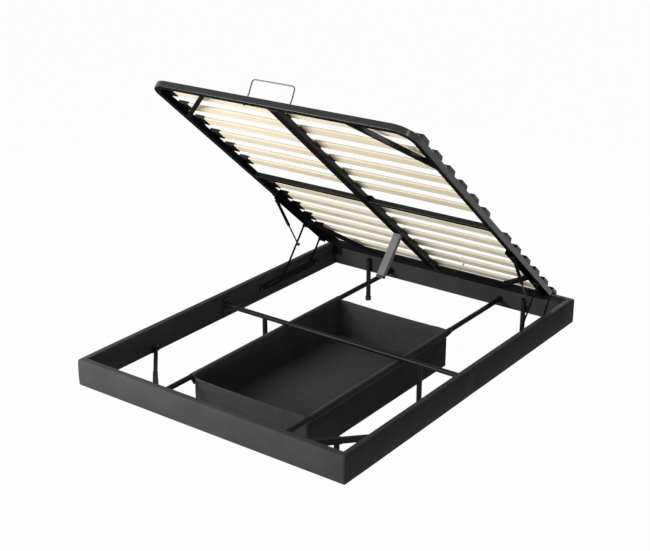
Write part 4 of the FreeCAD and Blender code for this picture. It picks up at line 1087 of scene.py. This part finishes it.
def deck_painted_shade(middle: Vector, normal: Vector) -> float:
    """Painted shade: one on faces of the deck that look down or at the slats, which lose their gloss coat and
    render darker.

    Args:
        middle: Middle of the face.
        normal: The way it looks.

    Returns:
        One or nought.
    """
    straight_down, turned_in = -0.97, 0.35
    inward = DECK_MIDDLE - middle
    inward -= DECK_UP * inward.dot(DECK_UP)
    return float(normal.dot(DECK_UP) < straight_down or normal.dot(inward.normalized()) > turned_in)


def both(*names: str) -> tuple[str, ...]:
    """Left-hand and right-hand names of pieces that come in pairs."""
    return tuple(name + side for name in names for side in ("_left", "_right"))


@dataclass(frozen=True)
class Lot:
    """CAD pieces dressed alike: shown as they are, or eased where a radius is given."""

    look: Look
    nodes: tuple[str, ...]
    radius: float | None = None


class Assembly:
    """A set of CAD pieces that are dressed together."""

    BODY = "base"
    LOTS: tuple[Lot, ...] = ()

    def build(self) -> None:
        """Dress the pieces, lot by lot."""
        for lot in self.LOTS:
            for node in lot.nodes:
                if lot.radius is None:
                    kept(node, lot.look)
                else:
                    eased(node, lot.look, self.body_of(node), lot.radius)

    def body_of(self, node: str) -> str:
        """Name of the body that carries a piece."""
        return self.BODY


class UnderFrame(Assembly):
    """Tubes, sockets, braces, plates and legs that stand inside the rails."""

    LOTS = (
        Lot(Look.TUBE, (*both("long_tube"), "cross_tube")),
        Lot(Look.TUBE, both("brace", "brace_sleeve", "leg_head", "leg_mid", "leg_foot")),
        Lot(Look.SCREW, ("frame_screws",)),
        Lot(Look.TUBE, ("tube_sockets", "brace_plates", "joint_plates"), 0.8 * MM),
        Lot(Look.TUBE, ("corner_brackets",), 0.7 * MM),
        Lot(Look.HOLDER, ("foot_pads",), 2.5 * MM),
    )


class DeckFrame(Assembly):
    """Square-tube frame of the deck, its wire loops and the middle leg."""

    BODY = "deck"
    LOTS = (
        Lot(Look.WIRE, ("retainer_foot", "retainer_head")),
        Lot(Look.NUT, ("retainer_nuts",)),
        Lot(Look.LEG, ("support_leg",)),
        Lot(Look.DECK, ("deck_tube_foot", "deck_tube_head", *both("deck_tube")), 0.0),
        Lot(Look.BAR, ("centre_beam", "cross_bars", "deck_braces"), 0.0),
    )


class SlatField(Assembly):
    """Two columns of sprung slats in moulded holders."""

    BODY = "deck"
    LOTS = (Lot(Look.HOLDER, (*both("slat_caps"), "slat_caps_centre"), 1.2 * MM),)
    TOP_ROUND = 4.4 * MM
    LOW_ROUND = 1.4 * MM
    ROUND_STEPS = 3
    FACES_UP = 0.8
    FACES_SIDEWAYS = 0.85
    ON_ROUNDING = 0.2

    def build(self) -> None:
        """Round the slats, then dress their holders."""
        for node in both("slats"):
            self.slats(node)
        super().build()

    def slats(self, node: str) -> None:
        """One column of slats, rounded more along the top than along the underside.

        Args:
            node: Name of the CAD node.
        """
        shape = cad_shape(node)
        for width, upward in ((self.TOP_ROUND, 1.0), (self.LOW_ROUND, -1.0)):
            whole = [edge for edge in shape.edges if edge.is_manifold]
            edges = [edge for edge in whole if edge.calc_face_angle() > SHARP_ANGLE
                     and any(face.normal.dot(DECK_UP) * upward > self.FACES_UP for face in edge.link_faces)]
            rounded(shape, edges, width, self.ROUND_STEPS, clamped=True)
        piece = settle(node + "_rounded", shape, Look.SLAT, self.BODY)
        mark_faces(piece, SLAT_FACE, self.layer)
        weighted(piece)
        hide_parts(node)

    def layer(self, _middle: Vector, normal: Vector) -> float:
        """Which part of the slat a face is, by the way it looks: nought a veneer, one an edge, two the upper
        rounding, coloured darker.

        Args:
            _middle: Middle of the face, not needed here.
            normal: The way it looks.

        Returns:
            The layer.
        """
        sideways = abs(normal.dot(DECK_FOOT))
        if sideways > self.FACES_SIDEWAYS:
            return 1.0
        return 2.0 if sideways > self.ON_ROUNDING and normal.dot(DECK_UP) > self.ON_ROUNDING else 0.0


@dataclass
class WeldSeams:
    """Beads round the bars of the deck where they are welded on."""

    ROUND_STEPS: ClassVar[int] = 3
    NOISE_SCALE: ClassVar[float] = 260.0

    radius: float = 1.9 * MM
    round_share: float = 0.9
    lump: float = 0.7 * MM
    ripples: int = 9
    half_bar: float = 12.5 * MM
    half_beam: float = 25 * MM
    bar_reach: float = 875.6 * MM
    beam_side: float = 26 * MM
    beam_ends: tuple[float, float] = (31 * MM, 1780 * MM)
    lap: float = MM

    def build(self) -> None:
        """Lay beads at the ends of a cross bar, beside the beam, and at the beam's own ends."""
        shape = bmesh.new()
        tall = DECK_UP * self.half_bar
        left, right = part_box("deck_tube_left")[1].x + self.lap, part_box("deck_tube_right")[0].x - self.lap
        bar = DECK_HEAD + DECK_FOOT * self.bar_reach + tall
        for x in (left, right, -self.beam_side, self.beam_side):
            self.bead(shape, bar + ACROSS * x, DECK_FOOT * self.half_bar, tall, ACROSS)
        for reach in self.beam_ends:
            self.bead(shape, DECK_HEAD + DECK_FOOT * reach + tall, ACROSS * self.half_beam, tall, DECK_FOOT)
        bmesh.ops.recalc_face_normals(shape, faces=shape.faces)
        settle("deck_welds", shape, Look.BAR, "deck", smooth_angle=60.0)

    def bead(self, shape: Shape, middle: Vector, half_one: Vector, half_two: Vector,
             axis: Vector) -> None:
        """One lumpy bead round a bar.

        Args:
            shape: Mesh the bead is added to.
            middle: Middle of the bar's section.
            half_one: Half of the section one way.
            half_two: Half of the section the other way.
            axis: The way the bar runs.
        """
        one, two = [2 * (half + half.normalized() * self.radius) for half in (half_one, half_two)]
        corners = add_block(shape, (one, two, axis * 2 * self.radius), middle)
        edges = dict.fromkeys(edge for vert in corners for edge in vert.link_edges)
        faces = rounded(shape, list(edges), self.radius * self.round_share, self.ROUND_STEPS)
        ring = dict.fromkeys(edge for face in faces for edge in face.edges)
        long_edges = [edge for edge in ring if edge.calc_length() > 4 * self.radius]
        split = bmesh.ops.subdivide_edges(shape, edges=long_edges, cuts=self.ripples, use_grid_fill=True)
        fresh = dict.fromkeys(item for item in split["geom_inner"] if isinstance(item, bmesh.types.BMVert))
        for vert in fresh:
            away = vert.co - middle
            vert.co += away.normalized() * self.lump * noise.noise(vert.co * self.NOISE_SCALE)


@dataclass
class Glide:
    """Soft foot on the end of the middle leg."""

    EDGE_STEPS: ClassVar[int] = 3

    node: str = "support_leg"
    tall: float = 7 * MM
    wider: float = 1.2 * MM
    edge: float = 1.6 * MM

    def build(self) -> None:
        """Model the foot round the end of the leg."""
        corners = [Vector(vert.co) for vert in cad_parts[self.node].data.vertices]
        axes = (ACROSS, DECK_FOOT, DECK_UP)
        lows = [min(corner.dot(axis) for corner in corners) for axis in axes]
        highs = [max(corner.dot(axis) for corner in corners) for axis in axes]
        highs[2] = lows[2] + self.tall
        grown = (2 * self.wider, 2 * self.wider, 0.0)
        sides = tuple(axis * (high - low + more) for axis, low, high, more in zip(axes, lows, highs, grown))
        middle = Vector((0.0, 0.0, 0.0))
        for axis, low, high in zip(axes, lows, highs):
            middle += axis * (low + high) / 2
        shape = bmesh.new()
        add_block(shape, sides, middle)
        bmesh.ops.recalc_face_normals(shape, faces=shape.faces)
        rounded(shape, shape.edges[:], self.edge, self.EDGE_STEPS)
        weighted(settle("support_leg_glide", shape, Look.HOLDER, "deck"))


class LiftMechanism(Assembly):
    """Bars, links, pins and gas springs on both sides."""

    LOTS = (
        Lot(Look.MECHANISM, ("base_pins", "deck_pins", *both("gas_cylinder"))),
        Lot(Look.ROD, both("gas_rod")),
        Lot(Look.MECHANISM, both("lower_bar", "upper_bar"), 0.7 * MM),
        Lot(Look.MECHANISM, both("rear_link", "front_link"), 0.6 * MM),
    )

    def body_of(self, node: str) -> str:
        """Name of the body that carries a piece: a link is its own body."""
        carrier = "deck" if node.startswith("upper") else "base"
        return node if "link" in node else carrier


@dataclass(frozen=True)
class Lamp:
    """A soft rectangular lamp: where it hangs, its width and height, its watts and what it looks at."""

    name: str
    place: tuple[float, float, float]
    size: tuple[float, float]
    watts: float
    aim: tuple[float, float, float] = (0.0, 0.0, 0.4)

    def build(self) -> None:
        """Hang the lamp."""
        data = bpy.data.lights.new(self.name, "AREA")
        data.shape = "RECTANGLE"
        data.size, data.size_y = self.size
        data.energy = self.watts
        lamp = bpy.data.objects.new(self.name, data)
        lamp.location = self.place
        lamp.rotation_mode = "QUATERNION"
        lamp.rotation_quaternion = (Vector(self.aim) - Vector(self.place)).to_track_quat("-Z", "Y")
        bpy.context.scene.collection.objects.link(lamp)


@dataclass
class Studio:
    """White floor and surroundings, soft lamps and the camera."""

    LAMPS: ClassVar[tuple[Lamp, ...]] = (
        Lamp("key", (-1.4, -3.2, 1.5), (2.2, 1.4), 118.0),
        Lamp("fill", (1.2, -4.0, 0.6), (3.0, 1.0), 52.0),
        Lamp("back", (-0.5, 4.2, 1.5), (2.4, 1.2), 75.0),
        Lamp("brow", (-0.9, -1.6, 1.1), (0.9, 0.3), 11.0, aim=(-0.45, -0.99, 0.23)),
        Lamp("glint", (3.1, -1.2, 3.1), (0.4, 0.4), 8.0, aim=(0.68, -0.45, 1.45)),
    )

    eye: tuple[float, float, float] = (3.3050, -4.5828, 2.8080)
    yaw: float = math.radians(-36.486)
    pitch: float = math.radians(21.696)
    focal_pixels: float = 1299.64
    image_width: float = 650.0
    sensor: float = 36.0
    world_level: float = 0.15
    floor_reach: float = 30.0
    floor_color: Color = (0.4, 0.4, 0.4)
    floor_rough: float = 0.9
    floor_white: float = 0.98

    def camera(self) -> None:
        """Set the camera where the photograph was taken from."""
        data = bpy.data.cameras.new("camera")
        data.sensor_fit = "HORIZONTAL"
        data.sensor_width = self.sensor
        data.lens = self.focal_pixels / self.image_width * self.sensor
        eye = bpy.data.objects.new("camera", data)
        eye.location = self.eye
        level = math.cos(self.pitch)
        look = Vector((math.sin(self.yaw) * level, math.cos(self.yaw) * level, -math.sin(self.pitch)))
        eye.rotation_mode = "QUATERNION"
        eye.rotation_quaternion = look.to_track_quat("-Z", "Y")
        bpy.context.scene.collection.objects.link(eye)
        bpy.context.scene.camera = eye

    def seen_directly(self, graph: Graph) -> Socket:
        """One for rays from the camera, from gloss and through glass, nought for the rest.

        Args:
            graph: Graph of a floor or world material.

        Returns:
            The mask.
        """
        path = graph.add("ShaderNodeLightPath")
        some = graph.math("MAXIMUM", path.outputs["Is Camera Ray"], path.outputs["Is Glossy Ray"])
        return graph.math("MAXIMUM", some, path.outputs["Is Transmission Ray"])

    def world(self) -> None:
        """White surroundings to the eye, a plain even level of light on the object."""
        world = bpy.data.worlds.new("studio")
        world.use_nodes = True
        bpy.context.scene.world = world
        graph = Graph(world.node_tree)
        strength = graph.remap(self.seen_directly(graph), 0.0, 1.0, self.world_level, 1.0)
        graph.put(world.node_tree.nodes["Background"], Color=(1.0, 1.0, 1.0), Strength=strength)

    def floor(self) -> None:
        """Floor that looks white, throws a little light back and keeps a faint shadow."""
        shape = bmesh.new()
        bmesh.ops.create_grid(shape, x_segments=1, y_segments=1, size=self.floor_reach)
        mesh = bpy.data.meshes.new("floor")
        shape.to_mesh(mesh)
        shape.free()
        floor = bpy.data.objects.new("floor", mesh)
        bpy.context.scene.collection.objects.link(floor)
        material = bpy.data.materials.new("pale_floor")
        material.use_nodes = True
        graph = Graph(material.node_tree)
        shader = material.node_tree.nodes["Principled BSDF"]
        graph.put(shader, Base_Color=self.floor_color, Roughness=self.floor_rough, Specular_IOR_Level=0.0)
        blend = graph.add("ShaderNodeMixShader")
        graph.feed(blend.inputs[0], graph.times(self.seen_directly(graph), self.floor_white))
        graph.feed(blend.inputs[1], shader.outputs[0])
        graph.feed(blend.inputs[2], graph.add("ShaderNodeEmission").outputs[0])
        graph.put(material.node_tree.nodes["Material Output"], Surface=blend.outputs[0])
        mesh.materials.append(material)

    def build(self) -> None:
        """Set up the whole studio."""
        self.camera()
        self.world()
        self.floor()
        for lamp in self.LAMPS:
            lamp.build()
        bpy.context.scene.view_settings.view_transform = "Standard"


def main() -> None:
    """Build the bed in order and light it."""
    logging.basicConfig(level=logging.INFO, format="%(name)s: %(message)s")
    PaddedRail("rail_foot", Side.FOOT).build()
    PaddedRail("rail_head", Side.HEAD).build()
    for name, side in (("left", Side.LEFT), ("right", Side.RIGHT)):
        for half in ("foot", "head"):
            PaddedRail("rail_%s_half_%s" % (half, name), side).build()
    StorageBox().build()
    UnderFrame().build()
    DeckFrame().build()
    WeldSeams().build()
    Glide().build()
    SlatField().build()
    LiftMechanism().build()
    Studio().build()


if __name__ == "__main__":
    main()
